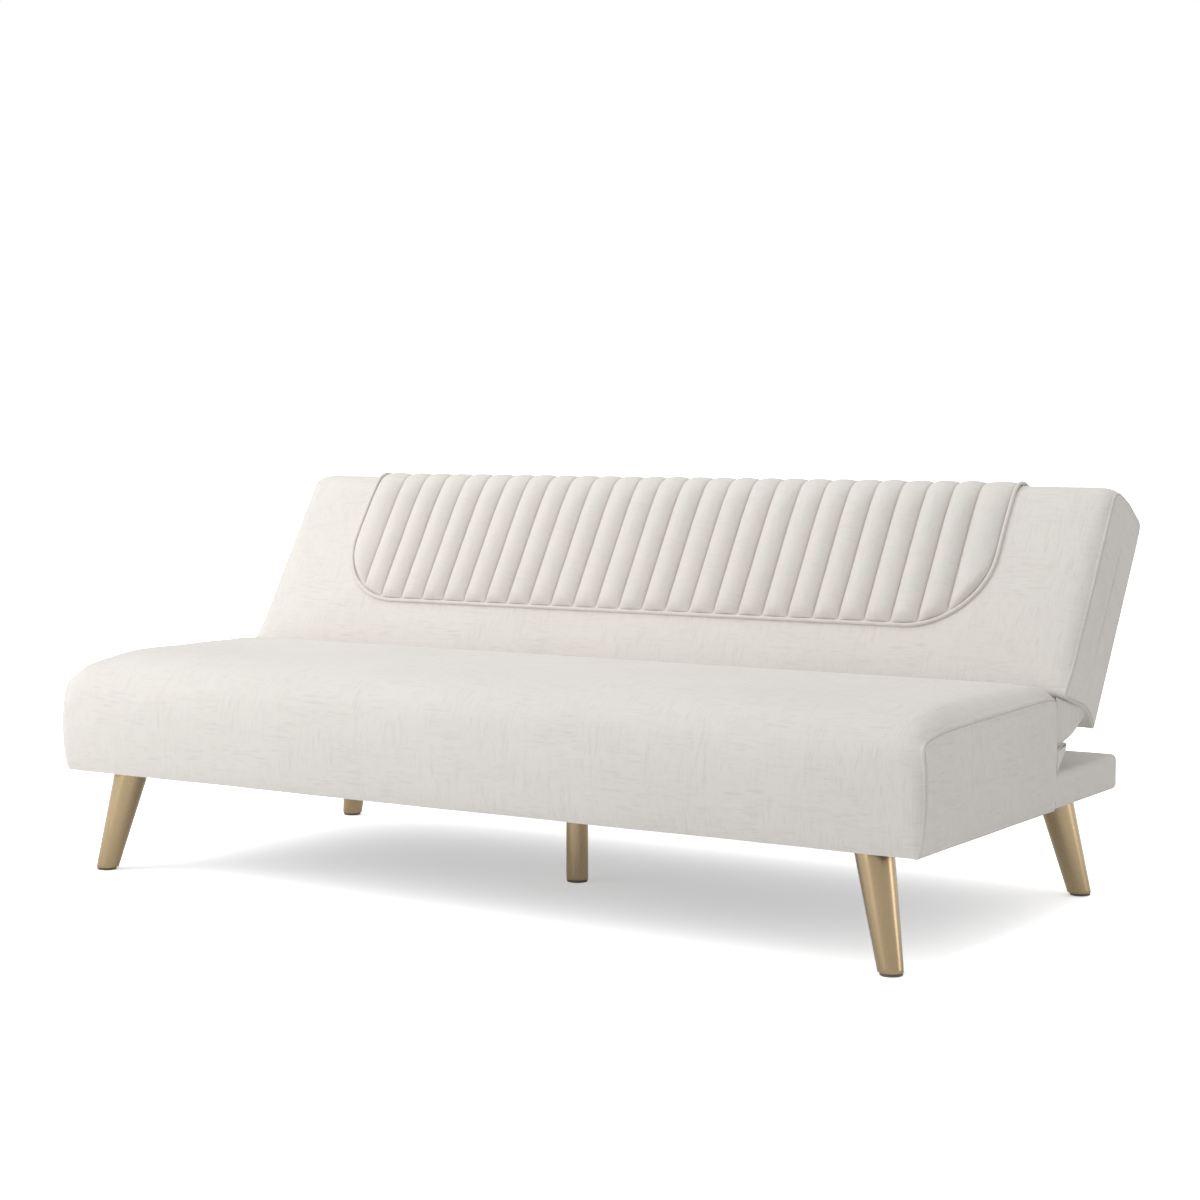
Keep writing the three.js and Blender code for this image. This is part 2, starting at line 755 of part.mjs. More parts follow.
// Top plate with four screw heads, and the plug that fills the mouth of the leg
function legPlate(footX, footY, splay, mouth, taper) {
  const topX = footX + splay.x;
  const topY = footY + splay.y;
  const half = legPlateSize / 2;
  const base = box(topX - half, topX + half, topY - half, topY + half,
    legPlateUnder, legPlateUnder + legPlateThickness);
  const plug = new THREE.CylinderGeometry(mouth, mouth - legPlugDepth * taper, 2 * legPlugDepth, 14);
  plug.rotateX(Math.PI / 2);
  plug.translate(0, 0, splay.length());
  const clip = box(topX - legPlateSize, topX + legPlateSize, topY - legPlateSize, topY + legPlateSize,
    undersideHeight - legPlugDepth, legPlateUnder + fit);
  const heads = [];
  for (const dx of [-1, 1]) {
    for (const dy of [-1, 1]) {
      const head = new THREE.CylinderGeometry(legScrewRadius, legScrewRadius / 2, 2 * legScrewHeadHeight, 6);
      head.rotateX(-Math.PI / 2);
      head.translate(topX + dx * (half - legScrewInset), topY + dy * (half - legScrewInset), legPlateUnder);
      heads.push(solid(head));
    }
  }
  return join(base, stand(plug, footX, footY, splay).intersect(clip), ...heads);
}

for (const [name, footX, footY, dirX, dirY] of legPlaces) {
  const splay = splayOf(dirX, dirY);
  add(sofa, `leg_${name}`, taperedLeg(footX, footY, splay), 'brass');
  add(sofa, `glide_${name}`, glide(footX, footY, legFootRadius - glideInset), 'glide');
  add(sofa, `leg_plate_${name}`, legPlate(
    footX, footY, splay, legTopRadius - legWall - 2 * fit, (legTopRadius - legFootRadius) / splay.length(),
  ), 'steel');
}
add(sofa, 'leg_centre', centreLeg(), 'brass');
add(sofa, 'glide_centre', glide(0, centreLegY, centreLegRadius - glideInset), 'glide');
add(sofa, 'leg_plate_centre', legPlate(
  0, centreLegY, new THREE.Vector3(0, 0, legTop), centreLegRadius - legWall - 2 * fit, 0,
), 'steel');

// Thin black cover under the whole frame, cut out round the legs' plugs

function dustCover() {
  const low = undersideHeight + fit;
  const geometry = new THREE.ExtrudeGeometry(ledgeOutline(ledgeFrameInset, frontRailY), {
    depth: dustCoverThickness, bevelEnabled: false, curveSegments: 5,
  });
  geometry.translate(0, 0, low);
  const sheet = solid(geometry);
  const tools = [];
  const places = legPlaces.map(([, x, y, dx, dy]) => [x - dx * legSplayX, y - dy * legSplayY, legTopRadius]);
  places.push([0, centreLegY, centreLegRadius]);
  for (const [x, y, radius] of places) {
    const tool = new THREE.CylinderGeometry(radius, radius, overrun, 14);
    tool.rotateX(Math.PI / 2);
    tool.translate(x, y, low);
    tools.push(solid(tool));
  }
  return cut(sheet, ...tools);
}

add(sofa, 'dust_cover', dustCover(), 'felt');

// Click clack hinge. The fixed arm bolts to the side rail, leaves the seat through a slot and
// carries the pivot and the pawl. The moving arm turns on the pivot and bolts to the back.

function boltThrough(at, shank, head) {
  return join(rod(at, boltRadius, shank, 8), rod(at, boltHeadRadius, head, 12));
}

function fixedArm(side) {
  const across = fixedPlane(side);
  const arm = join(
    link(fixedBoltFar, fixedBoltNear, fixedArmHalfWidth, across),
    link(fixedBoltNear, pivot, fixedArmHalfWidth, across),
    rod(pivot, fixedEyeRadius, across, 24),
    link(pivot, pawlPivot, pawlLugRadius, across),
  );
  const through = span(side, fixedInner - overrun, fixedInner + overrun);
  const bores = [
    rod(pivot, pivotRadius + runningGap, through),
    rod(pawlPivot, pawlPinRadius + runningGap, through, 12),
  ];
  const shank = span(side, fixedInner, railOuter);
  const head = span(side, fixedInner - boltHeadHeight, fixedInner + plateThickness / 2);
  const bolts = [fixedBoltFar, fixedBoltNear].map((at) => boltThrough(at, shank, head));
  return join(cut(arm, ...bores), ...bolts);
}

function pivotPin(side) {
  const from = hingeFaceX - runningGap;
  return join(
    rod(pivot, pivotRadius, span(side, from - pivotHeadHeight, pinReach + pivotHeadHeight)),
    rod(pivot, pivotHeadRadius, span(side, from - pivotHeadHeight, from), 20),
    rod(pivot, pivotHeadRadius, span(side, pinReach, pinReach + pivotHeadHeight), 20),
  );
}

// The ratchet rim has one notch for each lock of the back: upright, lounge and flat
function movingArm(side) {
  const across = movingPlane(side);
  const eye = rod(pivotInBack, ratchetRadius, across, 40);
  const strap = join(
    link(pivotInBack, movingBoltNear, movingArmHalfWidth, across),
    link(movingBoltNear, movingBoltFar, movingArmHalfWidth, across),
  );
  const [lineV, lineU] = [
    armRun.x * backIn.x + armRun.y * backIn.y, armRun.x * backUp.x + armRun.y * backUp.y,
  ];
  const start = Math.atan2(lineU, lineV);
  const notches = [];
  for (let i = 0; i < lockCount; i += 1) {
    const turn = start + i * lockStep;
    const notch = new THREE.BoxGeometry(plateThickness + overrun, notchDepth * 2, notchWidth);
    notch.translate(0, ratchetRadius, 0);
    notch.rotateX(turn);
    notch.translate((across[0] + across[1]) / 2, pivotInBack[0], pivotInBack[1]);
    notches.push(solid(notch));
  }
  const bore = rod(pivotInBack, pivotRadius + runningGap,
    span(side, hingeFaceX - overrun, hingeFaceX + overrun));
  const shank = span(side, hingeFaceX - backBoardThickness, hingeFaceX + plateThickness);
  const head = span(side, hingeFaceX + plateThickness / 2, hingeFaceX + plateThickness + boltHeadHeight);
  const bolts = [movingBoltNear, movingBoltFar].map((at) => boltThrough(at, shank, head));
  return join(cut(join(eye, strap), bore, ...notches), ...bolts);
}

function pawl(side) {
  const across = movingPlane(side);
  const knee = fromPivot(ratchetRadius + pawlSetback + pawlArmRadius, 0);
  const toothHalf = pawlToothWidth / 2;
  const tooth = plate(polygon([
    fromPivot(ratchetRadius + pawlLift, -toothHalf), fromPivot(ratchetRadius + pawlLift, toothHalf),
    fromPivot(ratchetRadius + pawlSetback + pawlArmRadius, toothHalf),
    fromPivot(ratchetRadius + pawlSetback + pawlArmRadius, -toothHalf),
  ]), across);
  const body = join(
    rod(pawlPivot, pawlHubRadius, across, 20), link(pawlPivot, knee, pawlArmRadius, across), tooth,
  );
  return cut(body, rod(pawlPivot, pawlPinRadius + runningGap,
    span(side, hingeFaceX - overrun, hingeFaceX + overrun), 12));
}

function pawlPin(side) {
  const inner = pawlPinInner - pawlPinHead;
  const outer = pinReach + pawlPinHead;
  return join(
    rod(pawlPivot, pawlPinRadius, span(side, inner, outer), 12),
    rod(pawlPivot, pawlPinHeadRadius, span(side, inner, pawlPinInner), 14),
    rod(pawlPivot, pawlPinHeadRadius, span(side, pinReach, outer), 14),
  );
}

// A torsion spring round the pawl's pin, its tail along the pawl
function pawlSpring(side) {
  const radius = pawlPinRadius + pawlSpringWire + runningGap;
  const from = hingeFaceX - runningGap - pawlSpringWire;
  const pitch = 2 * pawlSpringWire + runningGap;
  const along = [pawlPivot[0] - pivot[0], pawlPivot[1] - pivot[1]];
  const start = Math.atan2(along[1], along[0]) + Math.PI / 2;
  const coil = [];
  for (let i = 0; i <= pawlSpringTurns * pawlSpringSteps; i += 1) {
    const turns = i / pawlSpringSteps;
    const turn = start - 2 * Math.PI * turns;
    coil.push(new THREE.Vector3(
      side * (from - pitch * turns),
      pawlPivot[0] + radius * Math.cos(turn),
      pawlPivot[1] + radius * Math.sin(turn),
    ));
  }
  const tail = new THREE.Vector3(0, -Math.sin(start), Math.cos(start)).multiplyScalar(pawlReach / 2);
  return tube([tail.add(coil[0]), ...coil], pawlSpringWire, 5);
}

for (const [name, side] of sides) {
  add(sofa, `hinge_fixed_arm_${name}`, fixedArm(side), 'steel');
  add(sofa, `hinge_pivot_${name}`, pivotPin(side), 'steel');
  add(sofa, `ratchet_pawl_${name}`, pawl(side), 'steel');
  add(sofa, `pawl_pin_${name}`, pawlPin(side), 'steel');
  add(sofa, `pawl_spring_${name}`, pawlSpring(side), 'steel');
  add(backGroup, `hinge_moving_arm_${name}`, movingArm(side), 'steel');
}

// Back frame, in the back's own Y and Z

const backBoardOuter = hingeFaceX - runningGap;
const backBoardInner = backBoardOuter - backBoardThickness;
const frameRearAt = (u) => rearOfBack(u) - backFramePad;

// A board of the back's frame between two heights, its rear edge along the back's rear face
const backBoard = (low, high, across) => plate(polygon([
  [backFrameFront, low], [frameRearAt(low), low], [frameRearAt(high), high], [backFrameFront, high],
]), across);

// The room at the back's lower edge for the rim and the fixed arm, and for the pawl when the back
// lies flat
function hingeRoom(side) {
  const [v, u] = pivotInBack;
  const rim = ratchetRadius + recessClear;
  const pawlSweep = Math.hypot(ratchetRadius + pawlSetback, pawlReach) + pawlLugRadius + recessClear;
  const across = span(side, recessInner, recessOuter);
  return join(
    box(...across, v - rim, v + pawlSweep, -overrun, u + rim),
    link(pivotInBack, backOfWorld(fixedBoltNear), fixedArmHalfWidth + recessClear, across),
  );
}

function backSideBoard(side) {
  const board = backBoard(backFrameLow, backFrameTop, span(side, backBoardInner, backBoardOuter));
  const through = span(side, backBoardInner - overrun, backBoardOuter + overrun);
  const holes = [movingBoltNear, movingBoltFar].map((at) => rod(at, boltRadius + runningGap, through, 10));
  return cut(board, ...holes, hingeRoom(side));
}

function backRail(low, high) {
  const half = backBoardInner - railGap;
  return backBoard(low, high, [-half, half]);
}

function backPost() {
  const low = backFrameLow + backBoardThickness + railGap;
  const high = backFrameTop - backBoardThickness - railGap;
  return backBoard(low, high, [-backBoardThickness / 2, backBoardThickness / 2]);
}

// Elastic straps in front of the frame, woven across each other and tacked to its edges
const webbingRowShares = [0.3, 0.7];
const webbingColumns = 8;

function backWebbing() {
  const rear = backFrameFront - runningGap;
  const front = rear - webbingThickness;
  const half = webbingWidth / 2;
  const rows = webbingRowShares.map((share) => {
    const u = backFrameLow + (backFrameTop - backFrameLow) * share;
    return box(-backBoardOuter, backBoardOuter, front, rear, u - half, u + half);
  });
  const pitch = (2 * backBoardInner) / webbingColumns;
  const columns = Array.from({ length: webbingColumns }, (_, i) => {
    const x = (i + 0.5) * pitch - backBoardInner;
    return box(x - half, x + half, front, rear, backFrameLow, backFrameTop);
  });
  return join(...rows, ...columns);
}

for (const [name, side] of sides) add(backGroup, `back_side_board_${name}`, backSideBoard(side), 'timber');
add(backGroup, 'back_bottom_rail', backRail(backFrameLow, backFrameLow + backBoardThickness), 'timber');
add(backGroup, 'back_top_rail', backRail(backFrameTop - backBoardThickness, backFrameTop), 'timber');
add(backGroup, 'back_post', backPost(), 'timber');
add(backGroup, 'back_webbing', backWebbing(), 'webbing');

// The way for the moving arm through the back's cover and foam
const armWay = (side) => link(
  pivotInBack, movingBoltNear, movingArmHalfWidth + fit, span(side, recessInner, recessOuter),
);

function rearOpening(clear) {
  const half = backHalfLength - rearPanelBorder - clear;
  const low = backBottomRise + rearPanelBorder + clear;
  const high = backHeight - rearPanelBorder / 2 - clear;
  return { half, low, high };
}

function backCover() {
  const { half, low, high } = rearOpening(0);
  const opening = box(-half, half, backThickness / 2, backThickness + overrun, low, high);
  const ways = sides.map(([, side]) => join(hingeRoom(side), armWay(side)));
  return cut(backBlock(0, false), backBlock(coverThickness, false), opening, ...ways);
}

function backFoam() {
  const cavity = box(-recessOuter, recessOuter, backFrameFront - webbingThickness - 2 * runningGap,
    backThickness + overrun, backFrameLow - runningGap, backFrameTop + runningGap);
  const above = backHeight + overrun;
  const behind = backThickness + overrun;
  const rearCut = plate(polygon([
    [frameRearAt(-overrun), -overrun], [behind, -overrun], [behind, above], [frameRearAt(above), above],
  ]), [-backHalfLength - overrun, backHalfLength + overrun]);
  const ways = sides.map(([, side]) => join(hingeRoom(side), armWay(side)));
  return cut(backBlock(coverThickness + waddingGap, true), cavity, rearCut, ...ways);
}

function rearPanel() {
  const { half, low, high } = rearOpening(fit);
  const outer = (u) => rearOfBack(u) - backFramePad + fit + rearPanelThickness;
  return plate(polygon([
    [outer(low) - rearPanelThickness, low], [outer(low), low],
    [outer(high), high], [outer(high) - rearPanelThickness, high],
  ]), [-half, half]);
}

add(backGroup, 'back_cover', backCover(), 'linen');
add(backGroup, 'back_foam', backFoam(), 'foam');
add(backGroup, 'back_rear_panel', rearPanel(), 'linen');

// Channel tufted panel. It lies on the back's front face and goes over the top edge.

// The back's outline from above its lower front seam to past the top edge, with the distance run
const pathStart = 3;
const pathPoints = 12;

function surfacePath(x) {
  const ring = backRing(x / backHalfLength, 0, false).slice(pathStart, pathStart + pathPoints);
  let run = backFrontRoundLow;
  return ring.map((p, i) => {
    if (i) run += Math.hypot(p[0] - ring[i - 1][0], p[1] - ring[i - 1][1]);
    return { at: new THREE.Vector2(...p), run };
  });
}

function surfaceAt(x, distance) {
  const path = surfacePath(x);
  let i = 0;
  while (i + 2 < path.length && path[i + 1].run < distance) i += 1;
  const share = (distance - path[i].run) / (path[i + 1].run - path[i].run);
  const along = path[i + 1].at.clone().sub(path[i].at);
  const normal = new THREE.Vector2(-along.y, along.x).normalize();
  const before = path[Math.max(i - 1, 0)].at;
  if (share < 1e-6 && i > 0) {
    const last = path[i].at.clone().sub(before).normalize();
    normal.add(new THREE.Vector2(-last.y, last.x)).normalize();
  }
  return { at: path[i].at.clone().addScaledVector(along, share), normal };
}

// Distances at which the surface bends round the top edge, between two limits
function bendsOf(x, low, high) {
  return surfacePath(x).map(({ run }) => run).filter((run) => run > low && run < high);
}

const panelReach = backHeight + channelPanelReach - backFrontRoundTop;
const bendStart = backHeight - backFrontRoundTop - backFrontRoundLow;
const channelShares = [[0, 0], [0.27, 0.92], [0.73, 0.92]];
const pipingCornerSteps = 7;

function channelPad() {
  const inset = pipingRadius + 2 * fit;
  const half = channelPanelHalfLength - inset;
  const middleHalf = (channelCount / 2) * channelPitch;
  const columns = [];
  for (let i = 0; i < channelCount; i += 1) {
    for (const [across, height] of channelShares) {
      columns.push([(i + across) * channelPitch - middleHalf, height]);
    }
  }
  columns[0][0] = -half;
  columns.push([half, 0]);
  const low = channelPanelBottom + inset;
  const rings = columns.map(([x, height]) => {
    const rows = [low, ...bendsOf(x, low + overrun, panelReach - overrun / 2), panelReach - inset];
    const top = [];
    const under = [];
    rows.forEach((distance) => {
      const { at, normal } = surfaceAt(x, distance);
      const rise = channelValley + (channelCrest - channelValley) * height;
      const over = at.clone().addScaledVector(normal, rise);
      top.push(new THREE.Vector3(x, over.x, over.y));
    });
    for (const distance of [panelReach - inset, backHeight - backFrontRoundTop, low]) {
      const { at, normal } = surfaceAt(x, distance);
      const below = at.clone().addScaledVector(normal, -backFrontRoundTop);
      under.push(new THREE.Vector3(x, below.x, below.y));
    }
    return [...top, ...under];
  });
  const outline = new THREE.Shape();
  const straight = half - channelCornerLength;
  const top = 2 * backHeight;
  outline.moveTo(half, top);
  outline.lineTo(-half, top);
  outline.lineTo(-half, low + channelCornerHeight);
  outline.absellipse(-straight, low + channelCornerHeight, channelCornerLength, channelCornerHeight,
    Math.PI, Math.PI * 1.5, false);
  outline.absellipse(straight, low + channelCornerHeight, channelCornerLength, channelCornerHeight,
    Math.PI * 1.5, Math.PI * 2, false);
  const trim = new THREE.ExtrudeGeometry(outline, {
    depth: 2 * backThickness, bevelEnabled: false, curveSegments: pipingCornerSteps,
  });
  trim.rotateX(Math.PI / 2);
  trim.translate(0, 1.5 * backThickness, 0);
  return cut(skin(rings).intersect(solid(trim)), backBlock(-fit, false));
}

const pipingBottomShares = [0.66, 0.33, 0];

function channelPiping() {
  const half = channelPanelHalfLength;
  const low = channelPanelBottom + channelCornerHeight;
  const bends = bendsOf(half, bendStart, panelReach);
  const upright = [panelReach, ...bends.reverse(), (low + bendStart) / 2].map((distance) => [half, distance]);
  const corner = Array.from({ length: pipingCornerSteps + 1 }, (_, k) => {
    const turn = (Math.PI / 2) * (k / pipingCornerSteps);
    return [half - channelCornerLength * (1 - Math.cos(turn)),
      channelPanelBottom + channelCornerHeight * (1 - Math.sin(turn))];
  });
  const straight = half - channelCornerLength;
  const bottom = pipingBottomShares.map((share) => [share * straight, channelPanelBottom]);
  const halfPath = [...upright, ...corner, ...bottom];
  const whole = [...halfPath, ...halfPath.slice(0, -1).reverse().map(([x, d]) => [-x, d])];
  return tube(whole.map(([x, distance]) => {
    const { at, normal } = surfaceAt(x, distance);
    const over = at.clone().addScaledVector(normal, pipingRadius + fit);
    return new THREE.Vector3(x, over.x, over.y);
  }), pipingRadius, 6);
}

add(backGroup, 'channel_pad', channelPad(), 'linen');
add(backGroup, 'channel_piping', channelPiping(), 'linen');

// Fabric between the back's lower edge and the ledge, folded once, with a gusset at each end.
// It lies against the back's lower face, the seat's rear wall and the ledge, where it is tacked.

const hemShare = 0.78;
const creaseShare = 0.62;
const slopeShares = [0.2, 0.55];
const foldShares = [[0.6, 0.46], [0.5, 0.24]];
const gapCurveSteps = 9;
const gapTackSteps = 3;
const gussetSteps = [6, 3];

function gapCover() {
  const wall = seatDepth + gapCoverClear;
  const hem = worldOfBack([
    backThickness * hemShare, backBottomRise * hemShare - gapCoverClear - gapSheetThickness,
  ]);
  const crease = ledgeTop + creaseShare * ledgeHeight;
  const half = gapSheetThickness / 2;
  const tackTop = [wall + half, crease + gapTackWidth / 2];
  const tackLow = [wall + half, crease - gapTackWidth / 2];
  const onLedge = ledgeTop + gapCoverClear + half;
  const ledgeTack = [wall + half + gapTackWidth, onLedge];
  const ledgeEnd = [wall + half, onLedge];
  const curve = (steps, ...places) => new THREE.CatmullRomCurve3(
    places.map(([y, z]) => new THREE.Vector3(0, y, z)), false, 'centripetal',
  ).getPoints(steps).slice(0, steps);
  const points = [
    ...curve(gapCurveSteps, hem, ...slopeShares.map((share) => mixPoints(hem, tackTop, share)), tackTop),
    ...curve(gapTackSteps, tackTop, tackLow),
    ...curve(gapCurveSteps, tackLow,
      ...foldShares.map(([out, up]) => [wall + out * ledgeHeight, ledgeTop + up * ledgeHeight]), ledgeTack),
    ...curve(gapTackSteps, ledgeTack, ledgeEnd),
    new THREE.Vector3(0, ...ledgeEnd),
  ];
  const edge = (sign) => points.map((p, i) => {
    const after = points[Math.min(i + 1, points.length - 1)];
    const along = after.clone().sub(points[Math.max(i - 1, 0)]).normalize();
    return [p.y - sign * along.z * half, p.z + sign * along.y * half];
  });
  const sheet = plate(
    polygon([...edge(1), ...edge(-1).reverse()]), [-gapCoverHalfLength, gapCoverHalfLength],
  );
  const lowerFace = backRing(gapCoverHalfLength / backHalfLength, 0, false).slice(1 - lowEdgeSteps)
    .map(worldOfBack).map(([y, z]) => [y, z - 2 * gapCoverClear]);
  const corner = [wall, lowerFace[lowerFace.length - 1][1] - gapCoverClear];
  const onSheet = gussetSteps.map((step) => [points[step].y, points[step].z]);
  const gusset = polygon([...lowerFace, corner, [wall, crease], ...onSheet, hem]);
  const whole = join(sheet, ...sides.map(([, side]) => plate(
    gusset, span(side, gapCoverHalfLength - gapSheetThickness, gapCoverHalfLength),
  )));
  return cut(whole, ...sides.map(([, side]) => hingeWay(side)));
}

add(sofa, 'gap_cover', gapCover(), 'linen');

// The origin lies under the middle of the whole piece
const extent = new THREE.Box3().setFromObject(sofa, true);
sofa.position.set(-(extent.min.x + extent.max.x) / 2, -(extent.min.y + extent.max.y) / 2, -extent.min.z);

export default root;
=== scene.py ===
# %% [markdown]
# # A click clack sofa bed
# A sofa with one long seat block on splayed metal legs. Its padded back folds down over a low
# ledge behind the seat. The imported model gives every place, and this file dresses it: cloth,
# piping, stitches, timber and metal, each in its own cell.

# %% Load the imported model
import math

import bmesh
import bpy
import numpy as np
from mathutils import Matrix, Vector, noise


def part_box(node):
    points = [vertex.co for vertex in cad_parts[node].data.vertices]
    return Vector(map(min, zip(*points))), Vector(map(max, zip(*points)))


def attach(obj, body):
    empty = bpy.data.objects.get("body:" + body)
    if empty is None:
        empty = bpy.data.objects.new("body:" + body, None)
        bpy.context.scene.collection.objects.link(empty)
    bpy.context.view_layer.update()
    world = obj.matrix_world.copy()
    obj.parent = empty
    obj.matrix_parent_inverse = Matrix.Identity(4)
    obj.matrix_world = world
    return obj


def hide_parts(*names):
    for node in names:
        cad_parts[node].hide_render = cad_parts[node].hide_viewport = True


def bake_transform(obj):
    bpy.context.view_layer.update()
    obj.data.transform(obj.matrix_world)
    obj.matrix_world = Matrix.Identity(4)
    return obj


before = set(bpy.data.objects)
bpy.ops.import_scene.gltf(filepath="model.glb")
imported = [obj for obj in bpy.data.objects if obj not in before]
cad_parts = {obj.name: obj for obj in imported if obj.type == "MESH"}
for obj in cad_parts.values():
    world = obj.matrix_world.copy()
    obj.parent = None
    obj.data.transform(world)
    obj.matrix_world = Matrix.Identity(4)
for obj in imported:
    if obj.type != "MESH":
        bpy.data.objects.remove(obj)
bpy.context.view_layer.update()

# %% [markdown]
# A maker works in millimetres from the seat's lower front edge, and the frame is in metres with
# its origin under the middle. The rear wall of the seat is flat, so the seat's box gives the
# distance between the two.

# %% Sizes of the seat block, and the way from the workshop to the frame
MM = 0.001
SEAT_HALF = 890
SEAT_DEPTH = 548
UNDERSIDE = 192
SEAT_SEAM = 383
SEAT_CROWN = 31
depth_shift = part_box("seat_cover")[1].y / MM - SEAT_DEPTH
print("shift in depth, mm:", round(depth_shift, 2))


def to_frame(points):
    """Workshop millimetres to metres in the frame."""
    moved = np.array(points, float)
    moved[..., 1] += depth_shift
    return moved * MM


# %% [markdown]
# The camera stands where the photographer's did: a long lens, a little above the seat and to the
# right of the middle.

# %% Camera
LENS = 72.36
camera_data = bpy.data.cameras.new("studio_camera")
camera_data.lens = LENS
camera_data.sensor_width = 36
camera = bpy.data.objects.new("studio_camera", camera_data)
camera.location = (2.4335, -3.7537, 0.8529)
camera.rotation_euler = (math.radians(85.8), 0, math.radians(32.6))
bpy.context.collection.objects.link(camera)
bpy.context.scene.camera = camera
print("camera lens, mm:", LENS)

# %% [markdown]
# Two kinds of helper make all the node trees: one adds a node, the other joins sockets. They work
# on any tree, so the sky uses them as well as the materials.

# %% Helpers for any node tree


class Nodes:
    """Short ways to add nodes to a tree and to join their sockets."""

    def __init__(self, tree):
        self.tree = tree

    def put(self, value, socket):
        if isinstance(value, bpy.types.NodeSocket):
            self.tree.links.new(value, socket)
        else:
            socket.default_value = value

    def node(self, kind, **settings):
        made = self.tree.nodes.new("ShaderNode" + kind)
        for key, value in settings.items():
            setattr(made, key, value)
        return made

    def math(self, operation, *values):
        made = self.node("Math", operation=operation)
        for i, value in enumerate(values):
            self.put(value, made.inputs[i])
        return made.outputs[0]

    def plus(self, first, second):
        return self.math("ADD", first, second)

    def minus(self, first, second):
        return self.math("SUBTRACT", first, second)

    def times(self, first, second):
        return self.math("MULTIPLY", first, second)

    def most(self, first, second):
        return self.math("MAXIMUM", first, second)

    def between(self, value, low, high, to_low=0.0, to_high=1.0):
        made = self.node("MapRange")
        self.put(value, made.inputs[0])
        for i, number in enumerate((low, high, to_low, to_high)):
            made.inputs[i + 1].default_value = number
        return made.outputs[0]

    def white_rays(self):
        """1 for the rays that see the plain background: the camera's, and those off and through
        shiny pieces."""
        rays = self.node("LightPath").outputs
        return self.most(rays["Is Camera Ray"],
                         self.most(rays["Is Glossy Ray"], rays["Is Transmission Ray"]))


# %% [markdown]
# A finish is a material with Blender's Principled shader, whose sockets take the colour, the
# roughness and the small relief. Every cloth reads its piece's UV map, because a weave follows the
# cut of the cloth, and every hard finish reads Object coordinates.

# %% Helpers for materials


class Finish(Nodes):
    """A material with a Principled shader."""

    def __init__(self, name, roughness, metallic=0.0):
        self.material = bpy.data.materials.new(name)
        self.material.use_nodes = True
        super().__init__(self.material.node_tree)
        self.shader = self.tree.nodes["Principled BSDF"]
        self.shader.inputs["Roughness"].default_value = roughness
        self.shader.inputs["Metallic"].default_value = metallic

    def place(self):
        return self.node("TexCoord").outputs["Object"]

    def axes(self, source):
        made = self.node("SeparateXYZ")
        self.put(source, made.inputs[0])
        return made.outputs[0], made.outputs[1], made.outputs[2]

    def stretched(self, source, scale):
        made = self.node("Mapping")
        self.put(source, made.inputs["Vector"])
        made.inputs["Scale"].default_value = scale
        return made.outputs[0]

    def noise(self, source, scale, detail):
        made = self.node("TexNoise")
        self.put(self.stretched(source, scale), made.inputs["Vector"])
        made.inputs["Scale"].default_value = 1.0
        made.inputs["Detail"].default_value = detail
        return made.outputs[0]

    def yarns(self, run, side, width, changes):
        """Thick places in straight yarns of a width, changing so many times in a metre."""
        row = self.math("FLOOR", self.math("DIVIDE", side, width))
        place = self.node("CombineXYZ")
        self.put(self.times(run, changes), place.inputs[0])
        self.put(self.times(row, 7.31), place.inputs[1])
        return self.between(self.noise(place.outputs[0], (1, 1, 1), 1.0), 0.54, 0.74)

    def blend(self, share, first, second):
        made = self.node("Mix", data_type="RGBA")
        self.put(share, made.inputs["Factor"])
        self.put(first, made.inputs[6])
        self.put(second, made.inputs[7])
        return made.outputs[2]

    def bump(self, height, distance, strength=1.0, below=None):
        made = self.node("Bump")
        made.inputs["Strength"].default_value = strength
        made.inputs["Distance"].default_value = distance
        self.put(height, made.inputs["Height"])
        if below is not None:
            self.put(below, made.inputs["Normal"])
        return made.outputs[0]

    def colour(self, value):
        self.put(value, self.shader.inputs["Base Color"])

    def rough(self, value):
        self.put(value, self.shader.inputs["Roughness"])

    def normal(self, value):
        self.put(value, self.shader.inputs["Normal"])


def shade(colour, share):
    """A colour made darker or lighter."""
    return (*(part * share for part in colour[:3]), 1)


# %% [markdown]
# The cover is an upholstery weave that looks like linen: flat cream yarns in a small basket
# weave, with thicker slubs that run along and across. Two sine waves crossed give the yarns that
# pass over and under. A slub is a thick place in one yarn, so the noise that makes it changes
# along a yarn and jumps from one yarn to the next, and a slow noise gathers slubs in patches. A
# real weave could be modelled yarn by yarn, but at 2 mm a bump in the material does as well and
# stays light.

# %% The linen of the cover
LINEN = (0.800, 0.766, 0.722, 1)
LINEN_DARK = shade(LINEN, 0.72)
# Painted shade: the fold shade colour is the brown that creases, seams and grooves are painted
# with, in place of the shade that falls into them.
FOLD_SHADE_COLOUR = (0.50, 0.445, 0.385, 1)
YARN = 0.0021
SLUB_SHARE, CLOUD_SHARE, FINE_SHARE, GAP_SHADE_SHARE = 0.21, 0.10, 0.10, 0.26


